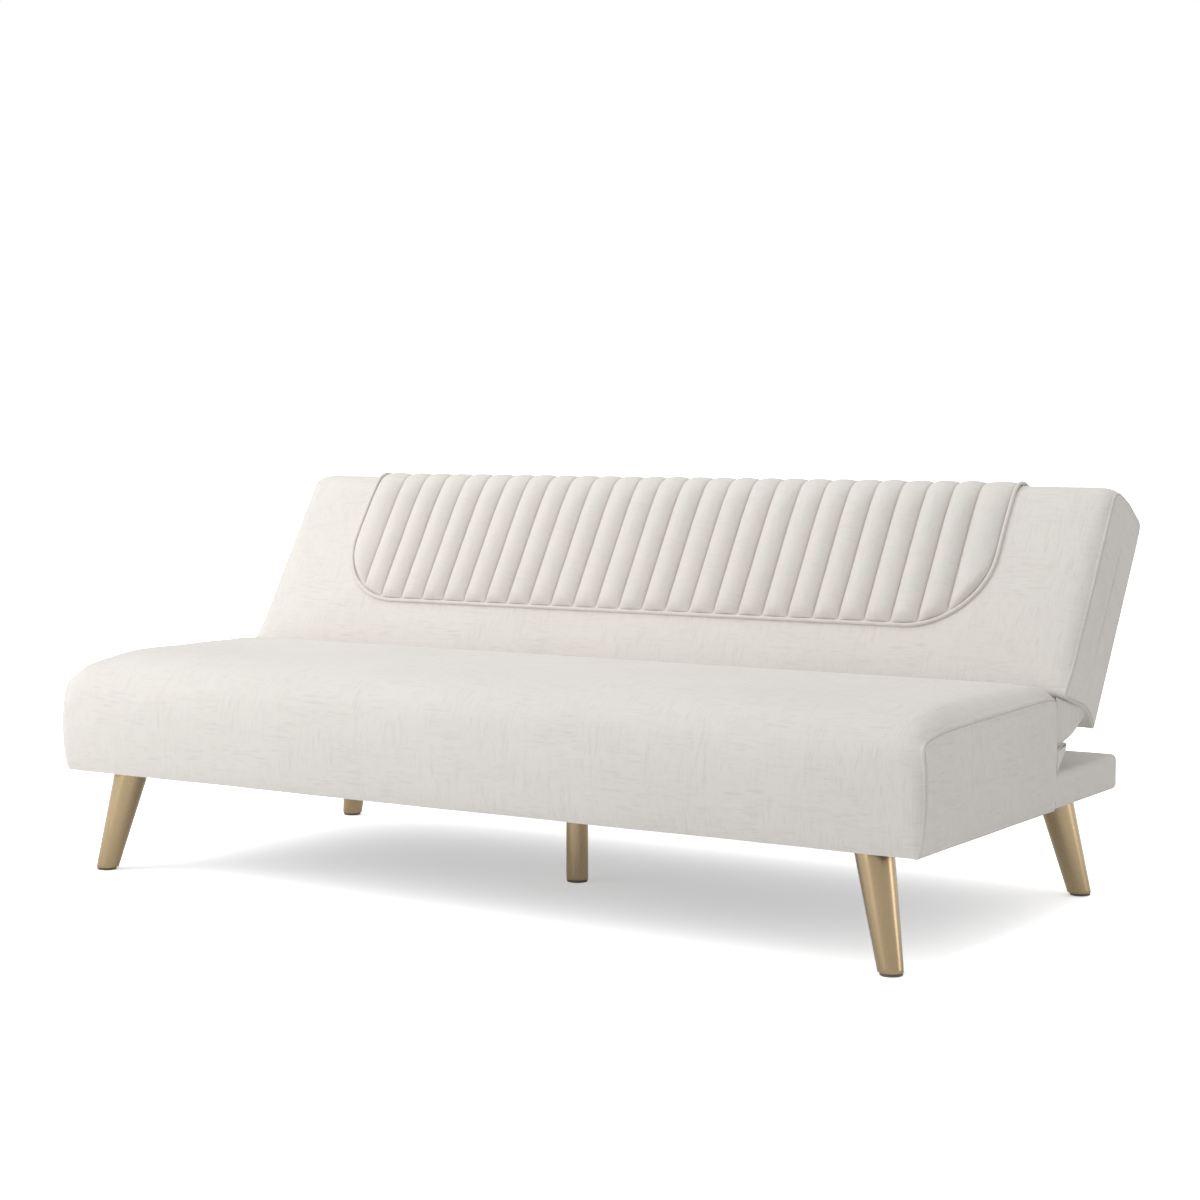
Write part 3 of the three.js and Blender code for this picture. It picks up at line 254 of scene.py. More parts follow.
def linen(name, tone=1.0, slub=1.0):
    """The cover's cloth. tone makes it darker, and slub says how much its thick yarns show."""
    finish = Finish(name, 0.92)
    finish.shader.inputs["Specular IOR Level"].default_value = 0.22
    finish.shader.inputs["Sheen Weight"].default_value = 0.18
    finish.shader.inputs["Sheen Roughness"].default_value = 0.5
    cloth = finish.node("UVMap", uv_map="UVMap").outputs[0]
    u, v, _ = finish.axes(cloth)
    warp, weft = (finish.math("SINE", finish.times(axis, math.pi / YARN)) for axis in (u, v))
    over = finish.between(finish.times(warp, weft), -0.35, 0.35)
    yarn_height = finish.plus(finish.times(finish.math("ABSOLUTE", warp), over),
                              finish.times(finish.math("ABSOLUTE", weft), finish.minus(1.0, over)))
    patch = finish.between(finish.noise(cloth, (9, 11, 1), 1.0), 0.40, 0.60)
    along = finish.most(finish.yarns(u, v, YARN, 30), finish.yarns(u, v, 2 * YARN, 19))
    across = finish.most(finish.yarns(v, u, YARN, 33), finish.yarns(v, u, 2 * YARN, 22))
    slubs = finish.plus(finish.times(along, finish.plus(patch, 0.15)),
                        finish.times(across, finish.minus(1.15, patch)))
    cloud = finish.between(finish.noise(cloth, (3.5, 4.5, 1), 3.0), 0.35, 0.7)
    fine = finish.between(finish.noise(cloth, (560, 560, 1), 1.0), 0.45, 0.8)
    # Painted shade between the yarns: the cloth is painted darker where the yarns lie low.
    gap_shade = finish.minus(1.0, yarn_height)
    tint = finish.times(slubs, SLUB_SHARE * slub)
    for part, share in ((cloud, CLOUD_SHARE), (fine, FINE_SHARE), (gap_shade, GAP_SHADE_SHARE)):
        tint = finish.plus(tint, finish.times(part, share))
    # Painted shade: where a piece's fold attribute is set, the cloth's colour is mixed towards the
    # fold shade colour.
    fold = finish.node("Attribute", attribute_name="fold").outputs[2]
    light, dark = shade(LINEN, tone), shade(LINEN_DARK, tone)
    base = finish.blend(finish.math("MINIMUM", tint, 1.0), light, dark)
    finish.colour(finish.blend(fold, base, FOLD_SHADE_COLOUR))
    rough = finish.bump(slubs, 0.0005, 0.55)
    finish.normal(finish.bump(yarn_height, 0.00045, 0.55, rough))
    return finish.material


linen_cover = linen("linen_cover")
linen_panel = linen("linen_channel_panel", 0.985, 0.55)
print("cloth finishes:", linen_cover.name, linen_panel.name)

# %% [markdown]
# The legs are brushed metal with a champagne brass plating. Fine lines run down each leg, so the
# noise is drawn out along Z, and a slow cloud keeps the tone from being even. The same helper
# makes the zinc on the hinge parts and springs, with a mottled bloom in place of the brushing.

# %% Metals
BRASS = (0.330, 0.251, 0.152, 1)
ZINC = (0.46, 0.47, 0.49, 1)


def brushed(name, colour, roughness, lines, bloom):
    """A plated metal. lines gives how fine its marks are along each axis, bloom its clouds."""
    finish = Finish(name, roughness, 1.0)
    place = finish.place()
    fine = finish.noise(place, lines, 3.0)
    cloud = finish.noise(place, (bloom, bloom, bloom), 3.0)
    tone = finish.plus(finish.times(finish.between(fine, 0.3, 0.7), 0.5),
                       finish.times(finish.between(cloud, 0.3, 0.7), 0.5))
    finish.colour(finish.blend(tone, shade(colour, 0.97), shade(colour, 1.03)))
    finish.rough(finish.between(finish.plus(fine, cloud), 0.7, 1.3,
                                roughness - 0.02, roughness + 0.02))
    finish.normal(finish.bump(fine, 0.0001, 0.012))
    return finish.material


brass = brushed("brass_plating", BRASS, roughness=0.27, lines=(260, 260, 5), bloom=14)
zinc = brushed("zinc_plating", ZINC, roughness=0.42, lines=(160, 160, 160), bloom=55)
print("metals:", brass.name, zinc.name)

# %% [markdown]
# Inside there is sawn softwood, elastic webbing and a black nonwoven cloth. They are seen only
# from below or with the cover off, and still each has its own grain. The foam needs no finish,
# because each cushion is one piece with its cover.

# %% Timber, webbing, cloth and plastic
PINE = (0.60, 0.41, 0.22, 1)
STRAP_DARK, STRAP_LIGHT = (0.16, 0.145, 0.12, 1), (0.26, 0.235, 0.195, 1)


def timber(name):
    """Sawn boards: bent rings, with fibre drawn out along X."""
    finish = Finish(name, 0.72)
    place = finish.place()
    warp = finish.noise(place, (2, 9, 9), 2.0)
    rings = finish.math("SINE", finish.times(warp, 70.0))
    fibre = finish.noise(place, (16, 420, 420), 2.0)
    tone = finish.plus(finish.times(finish.between(rings, -1, 1), 0.6), finish.times(fibre, 0.5))
    finish.colour(finish.blend(tone, shade(PINE, 1.1), shade(PINE, 0.62)))
    finish.normal(finish.bump(fibre, 0.0005, 0.4))
    return finish.material


def grainy(name, colour, roughness, scale, depth, contrast):
    """A finish with no direction: pressed fibres, thread or moulded plastic."""
    finish = Finish(name, roughness)
    place = finish.place()
    cells = finish.node("TexVoronoi")
    finish.put(finish.stretched(place, (scale, scale, scale)), cells.inputs["Vector"])
    cells.inputs["Scale"].default_value = 1
    cloud = finish.noise(place, (scale / 9, scale / 9, scale / 9), 3.0)
    tone = finish.times(finish.plus(cells.outputs[0], cloud), 0.6)
    finish.colour(finish.blend(tone, shade(colour, 1 + contrast), shade(colour, 1 - contrast)))
    finish.normal(finish.bump(cells.outputs[0], depth, 0.5))
    return finish.material


def woven_strap(name):
    """Elastic webbing: ribs one way and picks the other."""
    finish = Finish(name, 0.85)
    x, _, z = finish.axes(finish.place())
    ribs = finish.math("SINE", finish.times(x, 1900.0))
    picks = finish.math("SINE", finish.times(z, 1500.0))
    weave = finish.times(ribs, picks)
    finish.colour(finish.blend(finish.between(weave, -1, 1), STRAP_DARK, STRAP_LIGHT))
    finish.normal(finish.bump(weave, 0.0006, 0.6))
    return finish.material


pine = timber("sawn_pine")
nonwoven = grainy("nonwoven_cloth", (0.035, 0.034, 0.034, 1),
                  roughness=0.9, scale=900, depth=0.0004, contrast=0.4)
glide_plastic = grainy("glide_plastic", (0.15, 0.12, 0.085, 1),
                       roughness=0.55, scale=1500, depth=0.0002, contrast=0.3)
webbing = woven_strap("elastic_webbing")
thread = grainy("cover_thread", (0.70, 0.67, 0.62, 1),
                roughness=0.8, scale=2400, depth=0.0002, contrast=0.1)
print("inner finishes:", pine.name, nonwoven.name, webbing.name)

# %% [markdown]
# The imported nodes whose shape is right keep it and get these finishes. Each node's name says what
# it is made of.

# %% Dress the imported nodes
FINISH_OF = {
    "hinge": zinc, "ratchet": zinc, "pawl": zinc, "leg_plate": zinc, "seat_spring": zinc,
    "glide": glide_plastic, "back_webbing": webbing,
    "side_rail": pine, "end_board": pine, "front_rail": pine, "seat_rear_rail": pine,
    "ledge_rear_rail": pine, "ledge_deck": pine, "centre_stretcher": pine,
    "back_side_board": pine, "back_bottom_rail": pine, "back_top_rail": pine, "back_post": pine,
}
dressed = 0
for node_name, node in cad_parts.items():
    for start, material in FINISH_OF.items():
        if node_name.startswith(start):
            for slot in node.material_slots:
                slot.material = material
            dressed += 1
print("packed nodes dressed:", dressed)

# %% [markdown]
# Every sewn piece below is a lattice: rings of points, one beside the next, with the cloth's own
# length and width kept as UVs. The same helper makes a block that closes on itself, a pad, a
# piping tube and a hanging sheet, so they all have even quads.

# %% A lattice of points as a mesh


def lattice(name, points, strips, material, wrap=False, caps=False):
    """points is (rings, columns, 3) in metres. strips holds, for each pair of rings, the UVs of
    its lower and its upper edge, with one more column than points when the rings close."""
    rows, cols = points.shape[:2]
    span = cols if wrap else cols - 1
    faces, uvs = [], []
    for r in range(rows - 1):
        low, high = strips[r]
        for c in range(span):
            n = (c + 1) % cols
            faces.append((r * cols + c, r * cols + n, (r + 1) * cols + n, (r + 1) * cols + c))
            uvs.extend((low[c], low[c + 1], high[c + 1], high[c]))
    if caps:
        for r, strip in ((0, strips[0][0]), (rows - 1, strips[-1][1])):
            faces.append([r * cols + c for c in range(cols)])
            uvs.extend(strip[c] for c in range(cols))
    mesh = bpy.data.meshes.new(name)
    mesh.from_pydata(points.reshape(-1, 3).tolist(), [], faces)
    layer = mesh.uv_layers.new(name="UVMap")
    layer.data.foreach_set("uv", np.array(uvs, np.float32).ravel())
    return finish_mesh(name, mesh, material, closed=wrap)


def neighbours(rows):
    """Each row of UVs with the next one, as a lattice takes them."""
    return [(rows[r], rows[r + 1]) for r in range(len(rows) - 1)]


def finish_mesh(name, mesh, material, closed=True):
    """Makes a mesh an object in its material. A closed form gets its faces turned outwards."""
    if closed:
        work = bmesh.new()
        work.from_mesh(mesh)
        bmesh.ops.recalc_face_normals(work, faces=work.faces)
        work.to_mesh(mesh)
        work.free()
    mesh.shade_smooth()
    mesh.materials.append(material)
    piece = bpy.data.objects.new(name, mesh)
    bpy.context.collection.objects.link(piece)
    return piece


# %% [markdown]
# A form is softened point by point: each point moves along its normal, by a seam's relief or by
# slow waves. NumPy reads and writes all the points at once, which is quick on large meshes.

# %% Reading and moving the points of a mesh


def coordinates(mesh):
    found = np.empty(len(mesh.vertices) * 3)
    mesh.vertices.foreach_get("co", found)
    return found.reshape(-1, 3)


def normals(mesh):
    found = np.empty(len(mesh.vertices) * 3)
    mesh.vertex_normals.foreach_get("vector", found)
    return found.reshape(-1, 3)


def run_along(path):
    """The distance from the start of a line to each of its points."""
    return np.concatenate([[0], np.cumsum(np.linalg.norm(np.diff(path, axis=0), axis=1))])


def eased(share):
    """A share from 0 to 1 with a soft start and end."""
    return share * share * (3 - 2 * share)


def push(piece, amounts):
    """Moves each point of a piece along its normal, by metres."""
    mesh = piece.data
    moved = coordinates(mesh) + normals(mesh) * np.asarray(amounts)[:, None]
    mesh.vertices.foreach_set("co", moved.ravel())
    mesh.update()


def rolling(points, scale, seed, octaves=3):
    """Slow waves over points, between about -1 and 1."""
    moved = points * scale + seed
    return np.array([noise.fractal(Vector(p), 1.0, 2.0, octaves) for p in moved])


def mark(piece, name, values):
    """Keeps a number for each point, for a material to read."""
    layer = piece.data.attributes.new(name, "FLOAT", "POINT")
    layer.data.foreach_set("value", np.asarray(values, np.float32))


# %% [markdown]
# Foam and covers have room for the boards and hinges inside them. A boolean takes that room out of
# the finished form. Its cutters are prisms between two equal outlines, and they go afterwards.

# %% Cutting room for hidden parts


def plain(piece):
    """Applies a piece's modifiers and keeps the result as its mesh."""
    graph = bpy.context.evaluated_depsgraph_get()
    made = bpy.data.meshes.new_from_object(piece.evaluated_get(graph))
    piece.modifiers.clear()
    piece.data = made
    return piece


def cut_out(piece, tools):
    """Takes the room of hidden parts out of a block, as an upholsterer cuts foam."""
    for tool in tools:
        modifier = piece.modifiers.new("room", "BOOLEAN")
        modifier.operation = "DIFFERENCE"
        modifier.solver = "EXACT"
        modifier.object = tool
    plain(piece)
    for tool in tools:
        bpy.data.objects.remove(tool)
    piece.data.set_sharp_from_angle(angle=math.radians(48))


def block_tool(corners, place=to_frame):
    """A box-like cutter from its two ends, each a list of points in the same order."""
    count = len(corners[0])
    faces = [tuple(range(count)), tuple(range(count, 2 * count))]
    faces += [(i, (i + 1) % count, count + (i + 1) % count, count + i) for i in range(count)]
    mesh = bpy.data.meshes.new("room_tool")
    mesh.from_pydata(place(np.array(corners[0] + corners[1], float)).tolist(), [], faces)
    return finish_mesh("room_tool", mesh, nonwoven)


def box_tool(x0, x1, y0, y1, z0, z1, place=to_frame):
    """A cutter with square corners."""
    ends = [[(x, y0, z0), (x, y1, z0), (x, y1, z1), (x, y0, z1)] for x in (x0, x1)]
    return block_tool(ends, place)


# %% [markdown]
# An upholstered block is one outline swept along its length, with a panel sewn in at each end.
# The edge between them is round, and the felled seam runs in it: the cloth dips at the stitches
# and stands up in a soft ridge on each side. The end panel grows from the seam towards a line in
# its middle, so its rings stay evenly wide and the seam's relief has the same width all round.

# %% A rounded outline


def unit(v):
    return v / np.linalg.norm(v)


def rounded_outline(corners, runs):
    """A closed outline. A corner is (depth, height, radius, steps), and runs gives the steps from
    each corner to the next."""
    points = []
    for i, (a, b, radius, steps) in enumerate(corners):
        here = np.array([a, b], float)
        before = np.array(corners[i - 1][:2], float)
        after = np.array(corners[(i + 1) % len(corners)][:2], float)
        start = here + radius * unit(before - here)
        end = here + radius * unit(after - here)
        for k in range(steps + 1):
            t = k / steps if steps else 0
            points.append((1 - t) ** 2 * start + 2 * t * (1 - t) * here + t ** 2 * end)
        reach = after + corners[(i + 1) % len(corners)][2] * unit(here - after)
        points.extend(end + (reach - end) * k / runs[i] for k in range(1, runs[i]))
    return np.array(points)


# %% The relief of a seam
SEWN_WIDTH = 3
PANEL_HELD = 40
STITCH_LINE = -5.2


def seam_relief(q):
    """Height of a felled seam at a distance from its stitches, in millimetres."""
    dip = -1.4 * np.exp(-(q / 1.4) ** 2)
    ridges = np.where(q < 0, 1.3, 0.7) * np.exp(-((np.abs(q) - 4.2) / 2.0) ** 2)
    stitched = -0.35 * np.exp(-((np.abs(q) - 8.6) / 1.1) ** 2)
    return dip + ridges + stitched


def seam_shade(distance):
    """Painted shade at the stitches: how much darker the cloth is painted in the seam's dip, where
    shade falls.
    """
    return 0.42 * np.exp(-(distance / 1.3) ** 2)


print("seam relief at the stitches, mm:", round(float(seam_relief(np.zeros(1))[0]), 2))

# %% A block with sewn ends
TURNS = np.radians([0, 10, 19, 27, 34, 40, 46, 51, 56, 60,
                    64, 67, 70, 72.5, 75, 77.5, 80, 83, 86.5, 90])
SEAM_ROW = 15
FLARE_POWER = 8
PANEL_UV_SHIFT = 90
PANEL_STEPS = (0.8, 1.7, 2.7, 4, 5.5, 7, 9, 11.5, 15, 20, 27, 35, 44, 53, 61, 68, 73, 76.4)
PANEL_RADIUS = 78.0


def inward(ring, floor):
    """Directions towards the inside of a ring; points on the floor line stay on it."""
    before, after = np.roll(ring, 1, axis=0), np.roll(ring, -1, axis=0)
    if floor is not None:
        low = ring[:, 1] <= floor + 0.01
        edge = low & ~(np.roll(low, 1) & np.roll(low, -1))
        before = np.where((edge & np.roll(low, 1))[:, None], ring, before)
        after = np.where((edge & np.roll(low, -1))[:, None], ring, after)
    along = after - before
    along /= np.linalg.norm(along, axis=1)[:, None]
    found = np.stack([along[:, 1], -along[:, 0]], axis=1)
    if floor is not None:
        found[low & ~edge] = 0
        found[edge, 1] = 0
    return found


def upholstered_block(name, ring_at, half, spine, turn_in, roll, flare, bulge, pitch, material,
                      floor=None, place=to_frame):
    """ring_at(share, full) draws the outline. At the end the cloth rolls over a width of roll and
    turns in by turn_in, which are functions of the last outline, as flare, how far the end stands
    out, is. Returns the piece and, for each of its points, the distance from the seam in mm."""
    last = ring_at(1.0, 0.0)
    into, along, out = turn_in(last), roll(last), flare(last)
    inner = inward(last, floor)
    rows = []
    for share in np.linspace(0, 1, round(half / pitch), endpoint=False):
        x = share * (half - along)
        rows.append((x + out * (x / half) ** FLARE_POWER,
                     ring_at(share * (1 - along.mean() / half), 1.0)))
    for turn in TURNS:
        x = half - along * (1 - math.sin(turn))
        ring = ring_at(1 - along.mean() / half * (1 - math.sin(turn)), math.cos(turn))
        rows.append((x + out * (x / half) ** FLARE_POWER,
                     ring + inner * into[:, None] * (1 - math.cos(turn))))
    seam = len(rows) - len(TURNS) + SEAM_ROW
    (y0, y1), (z0, z1) = spine
    ring = last + inner * into[:, None]
    core = np.column_stack([np.clip(ring[:, 0], y0, y1), np.clip(ring[:, 1], z0, z1)])
    for step in PANEL_STEPS:
        share = 1 - step / PANEL_RADIUS
        rows.append((half + out * share ** 2 + bulge * (1 - share ** 2),
                     core + share * (ring - core)))
    right = np.array([np.column_stack([x, outline]) for x, outline in rows])
    stride = np.linalg.norm(np.diff(right, axis=0), axis=2)
    arc = np.concatenate([np.zeros((1, right.shape[1])), np.cumsum(stride, axis=0)])
    q = arc - arc[seam]
    points = np.concatenate([right[:0:-1] * (-1, 1, 1), right])
    distance = np.concatenate([q[:0:-1], q])
    across = np.concatenate([-arc[:0:-1], arc])
    closed = np.concatenate([points, points[:, :1]], axis=1)
    across = np.concatenate([across, across[:, :1]], axis=1)
    step = np.linalg.norm(np.diff(closed[:, :, 1:], axis=1), axis=2)
    run = np.concatenate([np.zeros((len(points), 1)), np.cumsum(step, axis=1)], axis=1)
    swept = np.stack([across, run], -1) * MM
    flat = np.stack([closed[..., 1] + PANEL_UV_SHIFT, closed[..., 2]], -1) * MM
    strips = []
    for r in range(len(points) - 1):
        far = max(abs(r - len(right) + 1), abs(r + 1 - len(right) + 1))
        uv = flat if far > seam else swept
        strips.append((uv[r], uv[r + 1]))
    piece = lattice(name, place(points), strips, material, wrap=True, caps=True)
    return piece, distance.ravel()


# %% [markdown]
# The seat is a foam block over zigzag springs, wrapped in cloth. It is crowned, its front face
# swells, and its long front edge has the soft round that foam takes under a cover. The end panel
# meets it in an arched seam that drops towards the front corner.

# %% Seat cushion: the shape
SEAT_MIDDLE = (UNDERSIDE + SEAT_SEAM) / 2
FRONT_SWELL = 13
FRONT_DIP, CORNER_DIP = 3, 8
EDGE_REACH = 110
SEAT_FLARE = 13


def seat_ring(share, full):
    """The seat's outline at a share of its half length. full is 1 along the seat, and falls to 0
    at its end."""
    corners = [(0, UNDERSIDE, 0, 0), (0, SEAT_SEAM, 24 + 24 * full, 12),
               (SEAT_DEPTH, SEAT_SEAM, 8 + 6 * full, 6), (SEAT_DEPTH, UNDERSIDE, 0, 0)]
    y, z = rounded_outline(corners, (15, 40, 12, 10)).T
    height = np.clip((z - UNDERSIDE) / (SEAT_SEAM - UNDERSIDE), 0, 1)
    along = 2 * y / SEAT_DEPTH - 1
    slow = 1 - 0.08 * abs(share) ** 10
    crown = SEAT_CROWN * full * slow * (1 - np.abs(along) ** np.where(along > 0, 12, 4))
    front = np.clip(1 - y / SEAT_DEPTH, 0, 1)
    corner = np.maximum(0, 1 - y / EDGE_REACH) ** 2
    dip = (1 - full) * (FRONT_DIP * front ** 1.5 + CORNER_DIP * corner)
    swell = FRONT_SWELL * (1 - 0.15 * abs(share) ** 10) * np.sin(math.pi * height) ** 0.8
    swell = swell * (0.55 + 0.45 * full) * np.maximum(0, 1 - y / (SEAT_DEPTH / 2))
    return np.column_stack([y - swell, z + (crown - dip) * height])


def seat_places_of(ring):
    """Height share, share towards the front and share of the top face, at points of an end ring."""
    height = np.clip((ring[:, 1] - UNDERSIDE) / (SEAT_SEAM - UNDERSIDE), 0, 1)
    front = np.clip(1 - ring[:, 0] / SEAT_DEPTH, 0, 1)
    top = np.clip((height - 0.72) / 0.2, 0, 1)
    return height, front, eased(top)


def seat_turn_in(ring):
    """How far the cloth turns in at the end: most at the top of the front."""
    height, front, _ = seat_places_of(ring)
    return 4 + 11 * np.sqrt(height) * front


def seat_roll(ring):
    """How wide the cloth rolls over to the end: widest along the top, narrow at the rear wall."""
    height, front, top = seat_places_of(ring)
    rear = np.clip(1 - (SEAT_DEPTH - ring[:, 0]) / EDGE_REACH, 0, 1)
    return 8 + 18 * front * np.sqrt(height) * (1 - top) + (28 + 8 * front) * top * (1 - 0.85 * rear)


def seat_flare(ring):
    """How far the end stands out: most half way up and towards the front."""
    height, front, _ = seat_places_of(ring)
    return SEAT_FLARE * np.maximum(np.sin(math.pi * height), 0) ** 0.6 * (0.2 + 0.8 * front)


SEAT_SPINE = ((SEAT_SEAM - SEAT_MIDDLE, SEAT_DEPTH - SEAT_SEAM + SEAT_MIDDLE),
              (SEAT_MIDDLE, SEAT_MIDDLE))
seat_cushion, seat_seam = upholstered_block(
    "seat_cushion", seat_ring, SEAT_HALF, SEAT_SPINE, seat_turn_in, seat_roll, seat_flare,
    bulge=11, pitch=12, material=linen_cover, floor=UNDERSIDE)
print("seat cushion points:", len(seat_cushion.data.vertices))

# %% [markdown]
# Foam under cloth is never flat. A pressure in a cloth simulation swells the cover a little
# between the places where it is sewn or stapled. The cover is cut to fit, so it stays smooth: only
# the swelling outwards is kept, evened over the neighbours and capped. The lattice already has
# even quads and its seams, so the simulation runs on the piece itself, and the points on seams and
# hems are held.

# %% A filling for sewn covers
scene = bpy.context.scene


def evened(mesh, values, times):
    """Values at points, averaged with their neighbours' a number of times."""
    edges = np.empty(len(mesh.edges) * 2, np.int32)
    mesh.edges.foreach_get("vertices", edges)
    a, b = edges.reshape(-1, 2).T
    count = np.bincount(a, minlength=len(values)) + np.bincount(b, minlength=len(values))
    for _ in range(times):
        total = np.bincount(a, values[b], len(values)) + np.bincount(b, values[a], len(values))
        values = 0.5 * values + 0.5 * total / count
    return values


def fill(piece, held, pressure, cap, frames=14):
    """Swells a sewn cover; held is 1 where a point is sewn down. cap is in metres."""
    group = piece.vertex_groups.new(name="held")
    for i in np.flatnonzero(held > 0.01):
        group.add([int(i)], float(held[i]), "REPLACE")
    modifier = piece.modifiers.new("filling", "CLOTH")
    cloth = modifier.settings
    cloth.quality = 5
    cloth.mass = 0.35
    cloth.tension_stiffness = cloth.compression_stiffness = 30
    cloth.shear_stiffness = 15
    cloth.bending_stiffness = 2.0
    cloth.vertex_group_mass = "held"
    cloth.use_pressure = True
    cloth.uniform_pressure_force = pressure
    cloth.effector_weights.gravity = 0
    modifier.collision_settings.use_collision = False
    modifier.point_cache.frame_start = 1
    modifier.point_cache.frame_end = frames
    before = coordinates(piece.data)
    for number in range(1, frames + 1):
        scene.frame_set(number)
    graph = bpy.context.evaluated_depsgraph_get()
    after = coordinates(piece.evaluated_get(graph).data)
    outward = np.sum((after - before) * normals(piece.data), axis=1)
    print(piece.name, "swelled by up to", round(float(outward.max()) / MM, 1), "mm")
    piece.modifiers.remove(modifier)
    piece.vertex_groups.clear()
    outward = evened(piece.data, cap * np.tanh(outward / cap), 10) * (1 - held)
    push(piece, outward)
    scene.frame_set(1)


def seam_lines(piece, distance, columns, target, keep):
    """A line beside each end seam, at a distance, through the columns that keep picks."""
    places = coordinates(piece.data).reshape(-1, columns, 3)
    q = distance.reshape(-1, columns)
    middle = len(q) // 2
    lines = []
    for rows in (np.arange(middle, len(q)), np.arange(middle, -1, -1)):
        lines.append(np.array([[np.interp(target, q[rows, c], places[rows, c, k]) for k in range(3)]
                               for c in range(columns) if keep[c]]))
    return lines


def sewn(piece, distance):
    """The felled seam's relief and the small puckers beside it, with painted shade at its stitches.
    """
    places = coordinates(piece.data)
    near = np.exp(-(distance / 9) ** 2)
    pucker = rolling(places, scale=70, seed=3.1, octaves=2) * 0.35 * near * (np.abs(distance) > 2.5)
    slow = rolling(places, scale=5.5, seed=7.7) * 0.9 * (1 - near)
    push(piece, (seam_relief(distance) + pucker + slow) * MM)
    mark(piece, "fold", seam_shade(distance))


# %% [markdown]
# The seat's cover is sewn to its end panels and stapled under the frame, so those points are held
# while the rest swells. The frame and its springs stand inside the foam, so the foam is hollow
# from below, and each hinge's fixed arm passes through a slot in its rear.

# %% Seat cushion: filling, seam and the room for the frame
seat_places = coordinates(seat_cushion.data) / MM
low_hem = seat_places[:, 2] < UNDERSIDE + 1
held_down = low_hem | (np.abs(seat_seam) < SEWN_WIDTH) | (seat_seam > PANEL_HELD)
fill(seat_cushion, np.where(held_down, 1.0, 0.0), pressure=1.2, cap=0.0025)
sewn(seat_cushion, seat_seam)
seat_end = seat_ring(1.0, 0.0)
stitched = (seat_end[:, 1] > UNDERSIDE + 4) & (seat_end[:, 0] < SEAT_DEPTH - 2)
stitch_lines = {"base": seam_lines(seat_cushion, seat_seam, len(seat_end), STITCH_LINE, stitched)}
# Painted shade: a dark line down each rear vertical edge of the seat, where it meets the gusset,
# and painted shade at the seams elsewhere.
rear_edge_shade = (np.abs(seat_places[:, 0]) > SEAT_HALF - 12) & (seat_places[:, 1] > SEAT_DEPTH - 3)
fold = np.where(rear_edge_shade, 0.4, seam_shade(seat_seam))
seat_cushion.data.attributes["fold"].data.foreach_set("value", fold.astype(np.float32))

SLOT = (840.2, 860.2)
ARM_ROOM = (481, 600, 271, 369)
CAVITY_TOP = 307


def both_sides(make):
    """The same cutter at both ends, where the hinges stand."""
    return [make(*span) for span in (SLOT, (-SLOT[1], -SLOT[0]))]


CAVITY = [(-882, 545), (-882, 17), (-871, 6), (871, 6), (882, 17), (882, 545)]
seat_rooms = [block_tool([[(x, y, z) for x, y in CAVITY] for z in (UNDERSIDE - 40, CAVITY_TOP)])]
seat_rooms += both_sides(lambda x0, x1: box_tool(x0, x1, *ARM_ROOM))
cut_out(seat_cushion, seat_rooms)
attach(seat_cushion, "base")
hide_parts("seat_cover", "seat_foam")
print("seat cushion faces:", len(seat_cushion.data.polygons))

# %% [markdown]
# The back is the same kind of block, leaning on its hinges. Its outline is drawn in the back's
# own depth and height from the lower front seam, then turned into the frame. Its lower edge
# arches up near the ends, where the hinge and the fold of cloth need room.

# %% Back cushion: the outline
BACK_HALF = 897
BACK_HEIGHT = 421
BACK_THICK = 156
BACK_THICK_TOP = 141
LEAN = math.radians(33.5)
BACK_SEAM = (551.5, 389)
BACK_DROOP = 2
BACK_ARCH = 25
BACK_TOP = 430
BACK_CROWN = 13
BACK_FORWARD = 12
EDGE_ZONE = 60


def of_back(points):
    """From (x, depth, height) in the back's own sizes to workshop millimetres."""
    x, v, u = np.moveaxis(np.asarray(points, float), -1, 0)
    return np.stack([x, BACK_SEAM[0] + v * math.cos(LEAN) + u * math.sin(LEAN),
                     BACK_SEAM[1] - v * math.sin(LEAN) + u * math.cos(LEAN)], axis=-1)


def back_outline(share, full=1.0, dense=1):
    """The back's outline as depth and height, its front at depth 0. dense adds points there."""
    corners = [(0, 0, 11, 5), (0, BACK_TOP, 30 + 10 * full, 12),
               (BACK_THICK_TOP, BACK_TOP + 3, 19, 6), (BACK_THICK, 14, 11, 5)]
    v, u = rounded_outline(corners, (34 * dense, 22, 22, 12)).T
    front = np.maximum(0, 1 - 2 * v / BACK_THICK)
    slow = 1 - 0.5 * abs(share) ** 8
    crown = BACK_CROWN * full * slow * np.maximum(0, 1 - np.abs(2 * u / BACK_TOP - 1) ** 4) * front
    arch = BACK_ARCH * max(0, abs(share) - 0.9) / 0.1
    droop = BACK_DROOP * abs(share) ** 18 * np.clip((u - 250) / 171, 0, 1.1) ** 2
    low = np.maximum(0, 1 - u / 44)
    through = np.sin(math.pi * np.clip(v / BACK_THICK, 0, 1) ** 1.7)
    forward = BACK_FORWARD * np.clip(u / BACK_TOP, 0, 1) ** 1.5 * front
    return np.column_stack([v - crown - forward, u + arch * low * through - droop])


def back_to_frame(points):
    return to_frame(of_back(points))


# %% Back cushion: the ends, and the block


def back_front_share(ring):
    return np.clip(1 - ring[:, 0] / EDGE_ZONE, 0, 1)


def back_top_share(ring):
    return np.clip((ring[:, 1] - BACK_TOP + 50) / 40, 0, 1)


def back_turn_in(ring):
    above_seam = np.clip(ring[:, 1] / EDGE_ZONE, 0, 1)
    return 3.5 + 13 * back_front_share(ring) * above_seam + 4 * back_top_share(ring)


def back_roll(ring):
    above_seam = np.clip(ring[:, 1] / EDGE_ZONE, 0.2, 1)
    return 5 + 21 * back_front_share(ring) * above_seam + 5 * back_top_share(ring)


def back_flare(ring):
    return 6 + 3 * np.clip(ring[:, 1] / BACK_TOP, 0, 1)


